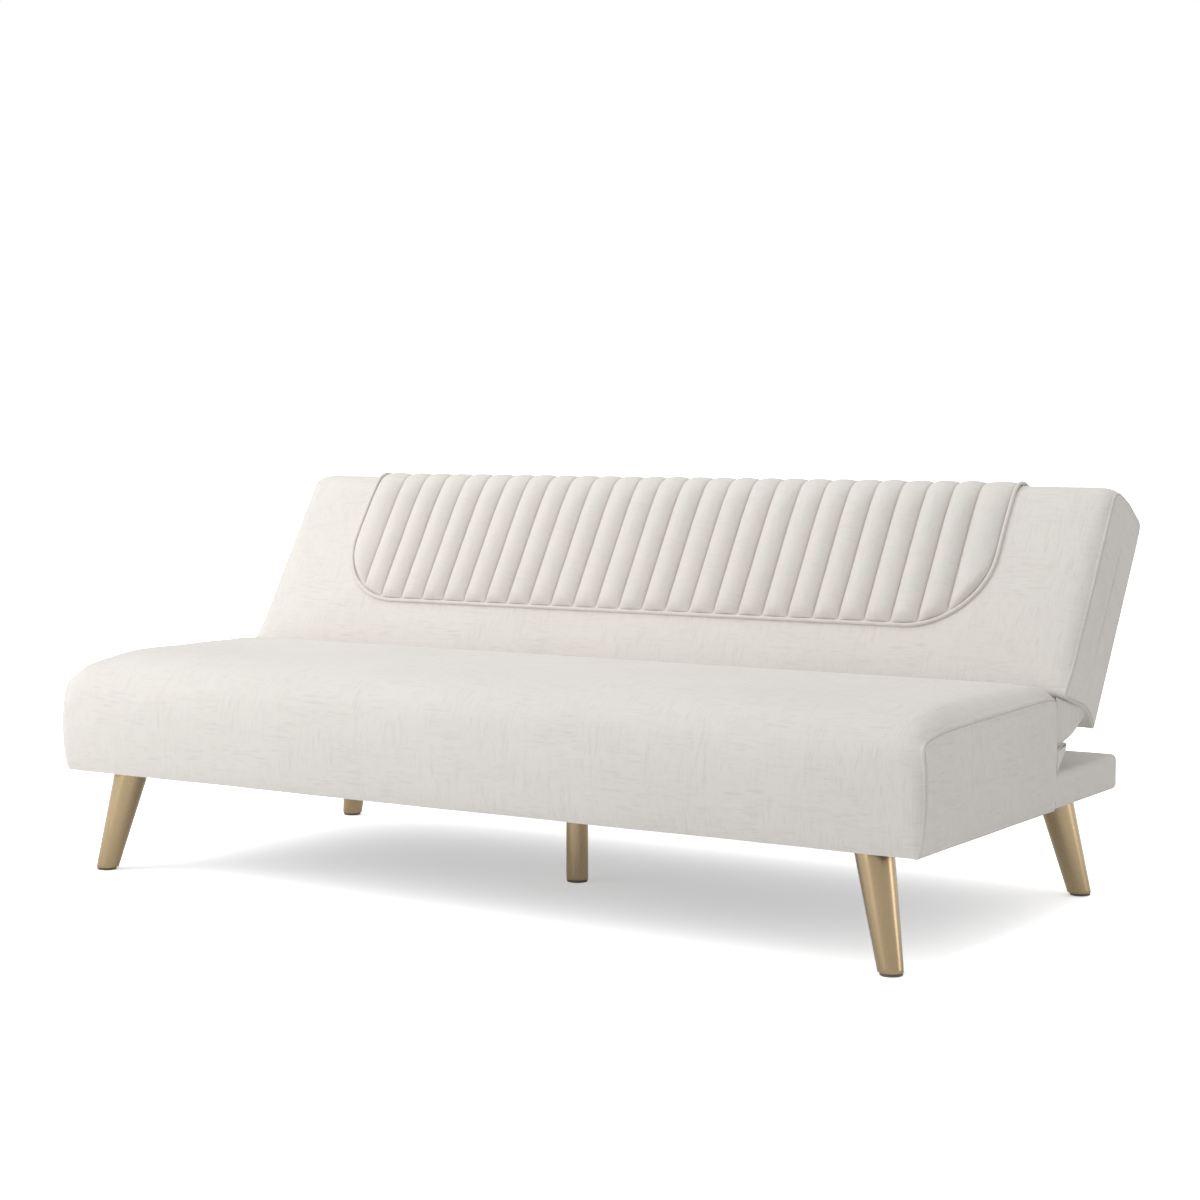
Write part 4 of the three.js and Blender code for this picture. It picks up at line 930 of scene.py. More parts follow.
BACK_SPINE = ((BACK_THICK / 2, BACK_THICK / 2), (BACK_THICK / 2, BACK_TOP - BACK_THICK / 2))
back_cushion, back_seam = upholstered_block(
    "back_cushion", back_outline, BACK_HALF, BACK_SPINE, back_turn_in, back_roll, back_flare,
    bulge=8, pitch=12, material=linen_cover, place=back_to_frame)
print("back cushion points:", len(back_cushion.data.vertices))

# %% [markdown]
# The back is filled the same way. Its foam has room for the frame, for the rear panel and for both
# hinges: the disc that the ratchet's rim sweeps, and the two flat arms that are bolted on. The
# points are the hinge's own, turned from the workshop's axes into the back's.

# %% Back cushion: filling, seam and the room for the frame and hinges


def into_back(y, z):
    """A workshop point as depth and height in the back."""
    dy, dz = y - BACK_SEAM[0], z - BACK_SEAM[1]
    return (dy * math.cos(LEAN) - dz * math.sin(LEAN), dy * math.sin(LEAN) + dz * math.cos(LEAN))


def bar_tool(x0, x1, start, end, half):
    """A flat bar of room between two points of the back's depth and height."""
    start, end = np.array(start, float), np.array(end, float)
    along = unit(end - start)
    across = np.array([-along[1], along[0]]) * half
    corners = [start - along * half - across, end + along * half - across,
               end + along * half + across, start - along * half + across]
    return block_tool([[(x, *corner) for corner in corners] for x in (x0, x1)], back_to_frame)


PIVOT = (585.27, 380.163)
PIVOT_IN_BACK = into_back(*PIVOT)
FIXED_BOLT = into_back(508, 280)
MOVING_BOLT = (92, 98)
RIM = 28.5
v_pivot, u_pivot = PIVOT_IN_BACK


def rear_of(u):
    """Depth of the back's rear face at a height."""
    return BACK_THICK + (BACK_THICK_TOP - BACK_THICK) * u / BACK_HEIGHT


def slanted_tool(x0, x1, front, low, high, behind):
    """Room in the back from a front plane to its leaning rear face."""
    ends = [[(x, front, low), (x, rear_of(low) + behind, low),
             (x, rear_of(high) + behind, high), (x, front, high)] for x in (x0, x1)]
    return block_tool(ends, back_to_frame)


held_down = (np.abs(back_seam) < SEWN_WIDTH) | (back_seam > PANEL_HELD)
fill(back_cushion, np.where(held_down, 1.0, 0.0), pressure=1.0, cap=0.002)
sewn(back_cushion, back_seam)
back_end = back_outline(1.0, 0.0)
rear_face = (back_end[:, 0] > BACK_THICK - 20) & (back_end[:, 1] < BACK_TOP - 4)
stitched = (back_end[:, 1] > 16) & ~rear_face
stitch_lines["back"] = seam_lines(back_cushion, back_seam, len(back_end), STITCH_LINE, stitched)
rim_turns = np.linspace(0, 2 * math.pi, 40, endpoint=False)
rim_ring = [(v_pivot + RIM * math.cos(t), u_pivot + RIM * math.sin(t)) for t in rim_turns]
frame_room = slanted_tool(-860.2, 860.2, front=55.4, low=29.7, high=403.3, behind=-5)
panel_room = slanted_tool(-871, 871, front=130, low=40, high=408, behind=30)
back_rooms = [frame_room, panel_room]
for hinge_room in (
        lambda x0, x1: box_tool(x0, x1, v_pivot, v_pivot + 50.2, -30, u_pivot + RIM, back_to_frame),
        lambda x0, x1: block_tool([[(x, *at) for at in rim_ring] for x in (x0, x1)], back_to_frame),
        lambda x0, x1: bar_tool(x0, x1, PIVOT_IN_BACK, FIXED_BOLT, half=16.5),
        lambda x0, x1: bar_tool(x0, x1, PIVOT_IN_BACK, MOVING_BOLT, half=16.8)):
    back_rooms += both_sides(hinge_room)
cut_out(back_cushion, back_rooms)
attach(back_cushion, "back")
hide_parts("back_cover", "back_foam")
print("back cushion faces:", len(back_cushion.data.polygons))

# %% [markdown]
# The channel tufted panel is a quilted piece of its own, laid on the front of the back and taken
# over the top edge. A rule makes it: 27 half rounds side by side, steep where the rows of
# stitches pull them down. It follows the back's outline by the distance run over it, and its
# lower corners are quarter ellipses.

# %% The back's surface by distance
CHANNELS = 27
CHANNEL_PITCH = 52.3
PANEL_HALF = CHANNELS * CHANNEL_PITCH / 2 + 16
PANEL_LOW = 115
PANEL_REACH = 501
CORNER = (150, 148)
FIRST_RUN = 15
TABLE_XS = np.linspace(-PANEL_HALF - 5, PANEL_HALF + 5, 61)
TABLE_RUN = np.arange(FIRST_RUN + 1, PANEL_REACH + 30, 2.0)


def run_table():
    """Depth, height and outward direction at even distances over the back's front and top."""
    rows = []
    for x in TABLE_XS:
        outline = back_outline(x / BACK_HALF, 1.0, 4)
        corner = np.argmin(np.abs(outline[:60, 0]) + np.abs(outline[:60, 1] - FIRST_RUN))
        path = outline[corner:corner + 260]
        run = FIRST_RUN + run_along(path)
        v, u = (np.interp(TABLE_RUN, run, path[:, k]) for k in (0, 1))
        dv, du = np.gradient(v), np.gradient(u)
        size = np.hypot(dv, du)
        rows.append(np.column_stack([v, u, -du / size, dv / size]))
    return np.array(rows)


RUNS = run_table()


def on_back(x, distance, rise):
    """Points at x and a distance over the back's surface, raised off it, all in millimetres."""
    x, distance = np.broadcast_arrays(np.asarray(x, float), np.asarray(distance, float))
    fx = (x - TABLE_XS[0]) / (TABLE_XS[1] - TABLE_XS[0])
    fd = (distance - TABLE_RUN[0]) / (TABLE_RUN[1] - TABLE_RUN[0])
    ix = np.clip(fx.astype(int), 0, len(TABLE_XS) - 2)
    jd = np.clip(fd.astype(int), 0, len(TABLE_RUN) - 2)
    tx, td = (fx - ix)[..., None], (fd - jd)[..., None]
    found = (RUNS[ix, jd] * (1 - tx) * (1 - td) + RUNS[ix + 1, jd] * tx * (1 - td)
             + RUNS[ix, jd + 1] * (1 - tx) * td + RUNS[ix + 1, jd + 1] * tx * td)
    v, u, out_v, out_u = np.moveaxis(found, -1, 0)
    rise = np.asarray(rise, float)
    return np.stack([x, v + out_v * rise, u + out_u * rise], axis=-1)


print("surface table:", RUNS.shape)

# %% [markdown]
# Each channel is a firm sewn tube, so its cross section is a rule and needs no simulation: a round
# that falls steeply to the stitches on both sides. It runs out to nothing at its two ends, and it
# is flatter over the top edge, where the cloth is pulled tight. No two are filled quite alike.

# %% The channel tufted panel
CHANNEL_SHARES = (-1, -0.975, -0.93, -0.86, -0.74, -0.56, -0.3,
                  0, 0.3, 0.56, 0.74, 0.86, 0.93, 0.975)
WELT_INSET = 4.4
CREST = 17.5
VALLEY = 2.2
TOP_CREST = 6.5
TURN_DOWN = 24
PANEL_EDGE = (0, 0.6, 1.5, 3, 5, 8, 12, 17, 24, 33)


def channel_panel_mesh():
    """The panel, and where each of its grooves lies along the back."""
    middle = CHANNELS / 2 * CHANNEL_PITCH
    columns = [((i + (w + 1) / 2) * CHANNEL_PITCH - middle, w, i)
               for i in range(CHANNELS) for w in CHANNEL_SHARES]
    columns.append((middle, 1.0, CHANNELS - 1))
    x, w, channel = (np.array(c) for c in zip(*columns))
    half = PANEL_HALF - WELT_INSET
    outer = (np.abs(x) - middle + CHANNEL_PITCH) / CHANNEL_PITCH
    x = x * np.where(outer > 0, 1 + (half / middle - 1) * outer, 1)
    reach = np.clip((np.abs(x) - (half - CORNER[0])) / CORNER[0], 0, 1)
    low = PANEL_LOW + WELT_INSET + CORNER[1] * (1 - np.sqrt(1 - reach ** 2))
    ends, last = np.array(PANEL_EDGE), PANEL_EDGE[-1]
    inner = np.linspace(0, 1, 42)[1:-1]
    high = PANEL_REACH - WELT_INSET
    distance = np.array([
        np.concatenate([b + ends, b + last + (high - b - 2 * last) * inner, high - ends[::-1]])
        for b in low])
    rng = np.random.default_rng(27)
    full = 1 + 0.05 * rng.standard_normal(CHANNELS)[channel.astype(int)]
    pillow = (1 - w ** 2) ** 0.82 * full
    from_end = np.minimum(distance - low[:, None], high - distance)
    turn = np.clip(from_end / TURN_DOWN, 0, 1)
    ending = np.sqrt(1 - (1 - turn) ** 2)
    over = np.clip((distance - 345) / 95, 0, 1)
    crest = CREST + (TOP_CREST - CREST) * eased(over)
    rise = (VALLEY + (crest - VALLEY) * pillow[:, None]) * ending
    grid_x = np.broadcast_to(x[:, None], distance.shape)
    flat = np.stack([grid_x, distance, 0 * distance], -1).reshape(-1, 3)
    wave = rolling(flat, scale=0.045, seed=5.5, octaves=2)
    rise = rise + wave.reshape(rise.shape) * 0.5 * ending * (0.3 + np.abs(w)[:, None])
    top = on_back(grid_x, distance, np.maximum(rise, 0.4))
    under = on_back(grid_x, distance, 0.3)
    closed = np.concatenate([top, under[:, ::-1]], axis=1)
    uv = np.stack([grid_x, distance], -1) * MM
    loop = np.concatenate([uv, uv[:, ::-1], uv[:, :1]], axis=1)
    piece = lattice("channel_panel", back_to_frame(closed), neighbours(loop), linen_panel,
                    wrap=True, caps=True)
    # Painted shade in the grooves: the cloth is painted darker within a few millimetres of each
    # groove's stitches, where shade falls between the channels.
    depth = np.exp(-((1 - np.abs(w)) * CHANNEL_PITCH / 2 / 2.2) ** 2)
    fold = np.broadcast_to(depth[:, None], distance.shape) * 0.5 * ending
    mark(piece, "fold", np.concatenate([fold, fold * 0], axis=1).ravel())
    return piece, x[w == -1][1:]


channel_panel, groove_xs = channel_panel_mesh()
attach(channel_panel, "back")
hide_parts("channel_pad")
print("channel panel faces:", len(channel_panel.data.polygons))

# %% [markdown]
# A welt, cloth sewn round a cord, runs round the panel. It is one tube on the same surface, so it
# stays on the back wherever the back is crowned.

# %% The welt round the panel
WELT = 3.6


def tube(name, path, out, radius, material, sides=12):
    """A round tube along points in metres. out gives the direction off the surface at each."""
    along = np.gradient(path, axis=0)
    along /= np.linalg.norm(along, axis=1)[:, None]
    side = np.cross(along, out)
    side /= np.linalg.norm(side, axis=1)[:, None]
    up = np.cross(side, along)
    turns = np.linspace(0, 2 * math.pi, sides, endpoint=False)
    rings = np.array([path + radius * (math.cos(t) * up + math.sin(t) * side) for t in turns])
    rings = np.moveaxis(rings, 0, 1)
    around = np.linspace(0, 2 * math.pi * radius, sides + 1)
    uv = [np.column_stack([np.full(sides + 1, at), around]) for at in run_along(path)]
    return lattice(name, rings, neighbours(uv), material, wrap=True, caps=True)


def welt_path(half, low):
    """x and distance round the panel, from one top end to the other."""
    straight = half - CORNER[0]
    side = [(half, d) for d in np.arange(PANEL_REACH, low + CORNER[1] + 3, -4)]
    turns = np.linspace(0, math.pi / 2, 52)
    corner = [(half - CORNER[0] * (1 - math.cos(t)), low + CORNER[1] * (1 - math.sin(t)))
              for t in turns]
    bottom = [(x, low) for x in np.arange(straight - 8, 0, -8)]
    right = side + corner + bottom
    return np.array(right + [(0, low)] + [(-x, d) for x, d in right[::-1]])


route = welt_path(PANEL_HALF, PANEL_LOW)
welt_line = back_to_frame(on_back(route[:, 0], route[:, 1], WELT + 0.3))
welt_out = back_to_frame(on_back(route[:, 0], route[:, 1], WELT + 1.3)) - welt_line
channel_welt = tube("channel_welt", welt_line, welt_out, WELT * MM, linen_panel)
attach(channel_welt, "back")
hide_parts("channel_piping")
print("welt length, m:", round(float(run_along(welt_line)[-1]), 2))

# %% [markdown]
# The rear of the back is closed by one flat piece of the same cloth, stretched over the frame and
# tacked inside the cover's turned edge. It is a sheet, so it gets its own thickness and a slight
# hollow between the boards.

# %% The rear panel


CLOTH = 0.0014


def sheet_mesh(name, grid, uv, thickness, material):
    """A sheet from a grid of points (rows, columns, 3) in metres, with cloth on both faces."""
    piece = lattice(name, grid, neighbours(uv), material)
    solid = piece.modifiers.new("cloth thickness", "SOLIDIFY")
    solid.thickness = thickness
    solid.offset = 0
    solid.use_even_offset = True
    return plain(piece)


REAR_LOW, REAR_HIGH, REAR_HALF = 40.6, 407.4, 870.4
REAR_UNDER = 2.8
xs = np.linspace(-REAR_HALF, REAR_HALF, 140)
us = np.linspace(REAR_LOW, REAR_HIGH, 32)
grid_u, grid_x = np.meshgrid(us, xs, indexing="ij")
hollow = 2.2 * np.sin(math.pi * (grid_u - REAR_LOW) / (REAR_HIGH - REAR_LOW)) ** 0.5
hollow = hollow * (1 - (np.abs(grid_x) / REAR_HALF) ** 12)
rear_grid = np.stack([grid_x, rear_of(grid_u) - REAR_UNDER - 0.3 * hollow, grid_u], -1)
rear_panel = sheet_mesh("rear_panel", back_to_frame(rear_grid), np.stack([grid_x, grid_u], -1) * MM,
                        CLOTH, linen_cover)
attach(rear_panel, "back")
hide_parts("back_rear_panel")
print("rear panel faces:", len(rear_panel.data.polygons))

# %% [markdown]
# The ledge is a low box behind the seat that the back lies on when it is flat. Its cover wraps
# over a round top edge and round rear corners, and it is open below and towards the seat.

# %% Ledge upholstery
LEDGE_HALF = 890
LEDGE_REAR = 848
LEDGE_TOP = 256
LEDGE_ROUND = 10
LEDGE_LOW_ROUND = 11
LEDGE_CORNER = 16


def ledge_outline(inset, front=500, steps=10):
    """The ledge from above, open towards the seat, at an inset from its edge."""
    half, rear, round_ = LEDGE_HALF - inset, LEDGE_REAR - inset, max(LEDGE_CORNER - inset, 2)
    right = [(half, y) for y in np.linspace(front, rear - round_, 26)]
    right += [(half - round_ * (1 - math.cos(t)), rear - round_ * (1 - math.sin(t)))
              for t in np.linspace(0, math.pi / 2, steps)[1:]]
    right += [(x, rear) for x in np.linspace(half - round_, 0, 80)[1:]]
    return np.array(right + [(-x, y) for x, y in right[-2::-1]])


def ledge_mesh():
    """Rings up the wall, over both round edges and in over the top."""
    rings = [(LEDGE_LOW_ROUND * (1 - math.sin(turn)),
              UNDERSIDE + LEDGE_LOW_ROUND * (1 - math.cos(turn)))
             for turn in np.linspace(0, math.pi / 2, 6)]
    rings += [(0, z)
              for z in np.linspace(UNDERSIDE + LEDGE_LOW_ROUND, LEDGE_TOP - LEDGE_ROUND, 7)[1:]]
    rings += [(LEDGE_ROUND * (1 - math.cos(turn)), LEDGE_TOP - LEDGE_ROUND * (1 - math.sin(turn)))
              for turn in np.linspace(0, math.pi / 2, 8)[1:]]
    rings += [(inset, LEDGE_TOP) for inset in (13, 18, 25, 38, 60, 95, 140)]
    outlines = [ledge_outline(inset) for inset, z in rings]
    points = np.array([np.column_stack([outline, np.full(len(outline), z)])
                       for outline, (inset, z) in zip(outlines, rings)])
    along = run_along(outlines[0])
    along = np.append(along, along[-1] + 2 * LEDGE_HALF - 10)
    uv = [np.column_stack([along, np.full(len(along), z + inset)]) * MM for inset, z in rings]
    return lattice("ledge_upholstery", to_frame(points), neighbours(uv), linen_cover,
                   wrap=True, caps=True)


ledge = ledge_mesh()
places = coordinates(ledge.data) / MM
soft = rolling(places, scale=0.008, seed=4.4) * 0.7
soft = soft * (places[:, 2] > UNDERSIDE + LEDGE_LOW_ROUND)
push(ledge, soft * MM)
cut_out(ledge, [box_tool(-900, 900, 400, SEAT_DEPTH + 0.6, 100, 300),
                box_tool(-882, 882, 400, 832, 100, 253)])
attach(ledge, "base")
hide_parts("ledge_cover")
print("ledge faces:", len(ledge.data.polygons))

# %% [markdown]
# Between the back and the seat hangs a loose sheet, tacked to the back's lower face, to the
# seat's rear wall and to the ledge. It folds once as the back goes down. At each end a three
# cornered gusset closes it.

# %% The sheet behind the seat
HEM = (658.7, 328.6)
CREASE = 301
WALL = SEAT_DEPTH + 1.4


def smooth_line(places, steps):
    """A curve through points, by the distance between them."""
    places = np.array(places, float)
    t = np.concatenate([[0], np.cumsum(np.linalg.norm(np.diff(places, axis=0), axis=1) ** 0.5)])
    slope = np.gradient(places, t, axis=0)
    found = []
    for i in range(len(places) - 1):
        h = t[i + 1] - t[i]
        for s in np.linspace(0, 1, steps, endpoint=False):
            leaving, arriving = s ** 3 - 2 * s ** 2 + s, s ** 3 - s ** 2
            found.append((2 * s ** 3 - 3 * s ** 2 + 1) * places[i] + leaving * h * slope[i]
                         + (3 * s ** 2 - 2 * s ** 3) * places[i + 1] + arriving * h * slope[i + 1])
    return np.array(found + [places[-1]])


UPPER = [HEM, (640, 322), (615, 313.2), (588, 308), (WALL, CREASE + 2.5)]
LOWER = [(WALL, CREASE - 7), (566, 298.5), (581, 303.2), (589, 304), (591, 300.5), (587.5, 293),
         (580, 284.5), (571, 276.5), (560, 267.5), (WALL + 5, 259.2), (WALL + 1, LEDGE_TOP + 1.4)]
CURTAIN_HALF = 891


def lower_face(share):
    """Depth and height along the back's lower face, from the front to the rear."""
    return back_outline(share)[:-13:-1]


def hem_rise(x):
    """How much higher the back's lower face is at x than in the middle, at the sheet's hem."""
    depth = into_back(*HEM)[0]
    here, middle = lower_face(min(abs(x) / BACK_HALF, 1)), lower_face(0)
    return float(np.interp(depth, *here.T) - np.interp(depth, *middle.T))


first_fold, second_fold = smooth_line(UPPER, 6), smooth_line(LOWER, 5)
line, upper_count = np.concatenate([first_fold, second_fold]), len(first_fold)
curtain_xs = np.linspace(-CURTAIN_HALF, CURTAIN_HALF, 220)
run = run_along(line)
upper_end, lower_start = run[upper_count - 1], run[upper_count]
free = np.sin(math.pi * np.clip(run / upper_end, 0, 1)) + 0.5 * np.sin(
    math.pi * np.clip((run - lower_start) / (run[-1] - lower_start), 0, 1))
rises = np.array([hem_rise(x) for x in curtain_xs])
lifted = np.clip(1 - run / upper_end, 0, 1) ** 1.5
sheet_grid = np.zeros((len(line), len(curtain_xs), 3))
sheet_grid[..., 0] = curtain_xs
up_the_back = (math.sin(LEAN), math.cos(LEAN))
sheet_grid[..., 1:] = line[:, None, :] + (lifted[:, None] * rises)[..., None] * up_the_back
ripple = rolling(sheet_grid.reshape(-1, 3), scale=0.012, seed=9.1).reshape(sheet_grid.shape[:2])
sheet_grid[..., 2] += ripple * free[:, None] * 2.0
sheet_grid[..., 1] += ripple * free[:, None] * 0.8
uv = np.stack(np.broadcast_arrays(curtain_xs[None, :], run[:, None]), -1) * MM
gap_curtain = sheet_mesh("gap_curtain", to_frame(sheet_grid), uv, CLOTH, linen_cover)
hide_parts("gap_cover")

# %% [markdown]
# A gusset closes the corner between back, seat and sheet. It is a grid between two edges that
# other pieces have already, so it meets both, with a slight billow and a crease. A small tuck
# closes the lower fold in the same way.

# %% The gussets and tucks at its ends
WALL_TOP = (550.2, 386.6)
GUSSET_OUT = 4.5
GUSSET_CLOTH = 0.0012


def resampled(points, shares):
    """Points at shares of the length of a line."""
    share = run_along(points)
    return np.stack([np.interp(shares, share / share[-1], points[:, k]) for k in (0, 1)], -1)


def flat_area(grid):
    across = np.cross(grid[1:, :-1] - grid[:-1, :-1], grid[:-1, 1:] - grid[:-1, :-1])
    return float(np.linalg.norm(across, axis=-1).sum()) * MM ** 2


def gusset_grid(side):
    """The piece between the back's lower edge, the seat's wall and the sheet's edge."""
    edge = sheet_grid[:upper_count, -1 if side > 0 else 0, 1:][::-1]
    lower = np.array([p[1:] for p in of_back([(0, *at) for at in lower_face(0.998)])]) - (0, 0.9)
    kept = (lower[:, 0] > WALL_TOP[0] + 3) & (lower[:, 0] < edge[-1, 0] - 4)
    top = np.array([WALL_TOP, *lower[kept], edge[-1]])
    s = np.linspace(0, 0.985, 24)
    t = np.linspace(0, 1, 14)[:, None]
    flat = resampled(top, s) * (1 - t[..., None]) + resampled(edge, s) * t[..., None]
    billow = 1.8 * np.sin(math.pi * t) * np.sin(math.pi * s) ** 0.6
    crease = 1.3 * np.sin(6 * t + 5 * s) * np.sin(math.pi * t)
    tucked = 8 * np.clip(1 - s / 0.22, 0, 1) ** 1.5
    x = CURTAIN_HALF + GUSSET_OUT * (1 - t) ** 2 + np.clip(billow + crease, -1.5, 2.5) - tucked
    return np.concatenate([side * x[..., None], flat], axis=-1)


SIDES = (("right", 1), ("left", -1))
gussets = []
for side_name, side in SIDES:
    grid = gusset_grid(side)
    gusset = sheet_mesh("gusset_" + side_name, to_frame(grid), grid[..., 1:] * MM,
                        GUSSET_CLOTH, linen_cover)
    gussets.append(gusset)
    print(gusset.name, "area in m2:", round(flat_area(grid), 5))


TUCK_STEPS = 14


def tuck_grid(side):
    """The small end of the lower fold, between the seat's wall and the slack of the sheet."""
    edge = sheet_grid[upper_count:, -1 if side > 0 else 0, 1:]
    outer = resampled(edge[np.argmax(edge[:, 0]):], np.linspace(0, 0.985, TUCK_STEPS))
    wall = np.column_stack([np.full(TUCK_STEPS, WALL + 0.3),
                            np.linspace(edge[0, 1], LEDGE_TOP + 2, TUCK_STEPS)])
    share = np.linspace(0, 1, TUCK_STEPS)
    flat = wall[:, None] * (1 - share[:, None]) + outer[:, None] * share[:, None]
    down = np.sin(math.pi * share)[:, None]
    crease = -3.2 * np.exp(-((share - 0.72) / 0.13) ** 2) + 1.6 * np.sin(math.pi * share)
    x = CURTAIN_HALF - 0.5 + crease * (0.3 + 0.7 * down)
    return np.concatenate([side * x[..., None], flat], axis=-1)


tucks = []
for side_name, side in SIDES:
    grid = tuck_grid(side)
    tuck = sheet_mesh("tuck_" + side_name, to_frame(grid), grid[..., 1:] * MM, CLOTH, linen_cover)
    tucks.append(tuck)
    print(tuck.name, "area in m2:", round(flat_area(grid), 5))

BLEND_FROM = tuple(to_frame((0, WALL, CREASE + 4)))
BLEND_TO = tuple(to_frame((0, *HEM)))
for piece in (gap_curtain, *gussets, *tucks):
    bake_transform(piece)

# %% [markdown]
# Each leg is a tapered tube, cut level at its top and foot although it leans. Every line down the
# tube is straight, so each level ring is where those lines cross a level plane. A small round at
# the foot catches the light.

# %% Legs
LEG_TOP = 191.6
LEG_LOW = 4.3
LEG_WALL = 2.2
LEG_SIDES = 64


def leg_ring(foot, splay, low_radius, top_radius, z, inset=0.0):
    """Where the lines down a leaning, tapered tube cross a level plane."""
    length = np.linalg.norm(splay)
    axis = splay / length
    first = unit(np.cross((0, 1, 0), axis))
    second = np.cross(axis, first)
    turns = np.linspace(0, 2 * math.pi, LEG_SIDES, endpoint=False)
    around = np.outer(np.cos(turns), first) + np.outer(np.sin(turns), second)
    taper = (top_radius - low_radius) / length
    radius = low_radius - inset
    h = (z - radius * around[:, 2]) / (axis[2] + taper * around[:, 2])
    return np.append(foot, 0.0) + h[:, None] * axis + (radius + taper * h)[:, None] * around


def leg(name, foot, splay, low_radius, top_radius):
    """A tube from its foot up the outside, over the rim and a little way down inside."""
    levels = [(LEG_LOW, 2.0), (LEG_LOW + 0.1, 1.2), (LEG_LOW + 0.5, 0.45), (LEG_LOW + 1.2, 0.0)]
    levels += [(z, 0.0) for z in np.linspace(LEG_LOW + 6, LEG_TOP - 1.2, 12)]
    levels += [(LEG_TOP - 0.3, 0.1), (LEG_TOP, 0.5), (LEG_TOP, LEG_WALL), (LEG_TOP - 24, LEG_WALL)]
    foot, splay = np.array(foot, float), np.array(splay, float)
    rings = np.array([leg_ring(foot, splay, low_radius, top_radius, *level) for level in levels])
    around = np.linspace(0, 2 * math.pi * low_radius, LEG_SIDES + 1)
    uv = [np.column_stack([around, np.full(LEG_SIDES + 1, z)]) * MM for z, _ in levels]
    piece = lattice(name, to_frame(rings), neighbours(uv), brass, wrap=True, caps=True)
    piece.data.set_sharp_from_angle(angle=math.radians(50))
    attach(piece, "base")
    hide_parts(name.replace("_tube", ""))


SPLAY = (44, 26)
CENTRE_FOOT = (0, 417.5)
LEG_PLACES = {
    "front_right": (829, 37, 1, -1), "front_left": (-829, 37, -1, -1),
    "rear_right": (838, 801, 1, 1), "rear_left": (-838, 801, -1, 1),
}
for place_name, (x, y, dx, dy) in LEG_PLACES.items():
    leg("leg_" + place_name + "_tube", (x, y), (-dx * SPLAY[0], -dy * SPLAY[1], LEG_TOP),
        low_radius=20.2, top_radius=32)
leg("leg_centre_tube", CENTRE_FOOT, (0, 0, LEG_TOP), low_radius=20.5, top_radius=20.5)
print("legs:", len(LEG_PLACES) + 1)

# %% [markdown]
# A black nonwoven cloth is stapled under the frame to keep dust out. It hangs a little between
# its staples, and it is cut out round the legs.

# %% Dust cloth
DUST_Z = 193.0
DUST_SAG = 0.6
DUST_HALF, DUST_FRONT, DUST_REAR = 872, 16, 826
dust_ys, dust_xs = np.linspace(DUST_FRONT, DUST_REAR, 60), np.linspace(-DUST_HALF, DUST_HALF, 110)
gy, gx = np.meshgrid(dust_ys, dust_xs, indexing="ij")
sag = np.sin(math.pi * (gx + DUST_HALF) / (2 * DUST_HALF))
sag = sag * np.sin(math.pi * (gy - DUST_FRONT) / (DUST_REAR - DUST_FRONT))
dust_grid = np.stack([gx, gy, DUST_Z - DUST_SAG * sag], -1)
dust_cloth = sheet_mesh("dust_cloth", to_frame(dust_grid), np.stack([gx, gy], -1) * MM,
                        0.0008, nonwoven)


def round_tool(x, y, radius):
    """A round cutter through the dust cloth."""
    turns = np.linspace(0, 2 * math.pi, 40, endpoint=False)
    ring = [(x + radius * math.cos(t), y + radius * math.sin(t)) for t in turns]
    return block_tool([[(px, py, z) for px, py in ring] for z in (180, 205)])


dust_holes = [round_tool(x - dx * SPLAY[0], y - dy * SPLAY[1], radius=31.5)
              for x, y, dx, dy in LEG_PLACES.values()]
dust_holes.append(round_tool(*CENTRE_FOOT, radius=21))
cut_out(dust_cloth, dust_holes)
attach(dust_cloth, "base")
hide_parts("dust_cover")
print("dust cloth faces:", len(dust_cloth.data.polygons))

# %% [markdown]
# Stitches and staples are one small part, repeated along a line. Geometry Nodes does that: the
# guide is a mesh of edges, the tree turns it into a curve, puts a part at every step and turns it
# along the curve. The steps and sizes are inputs, so one tree sews and staples.

# %% A tree that repeats a part along lines


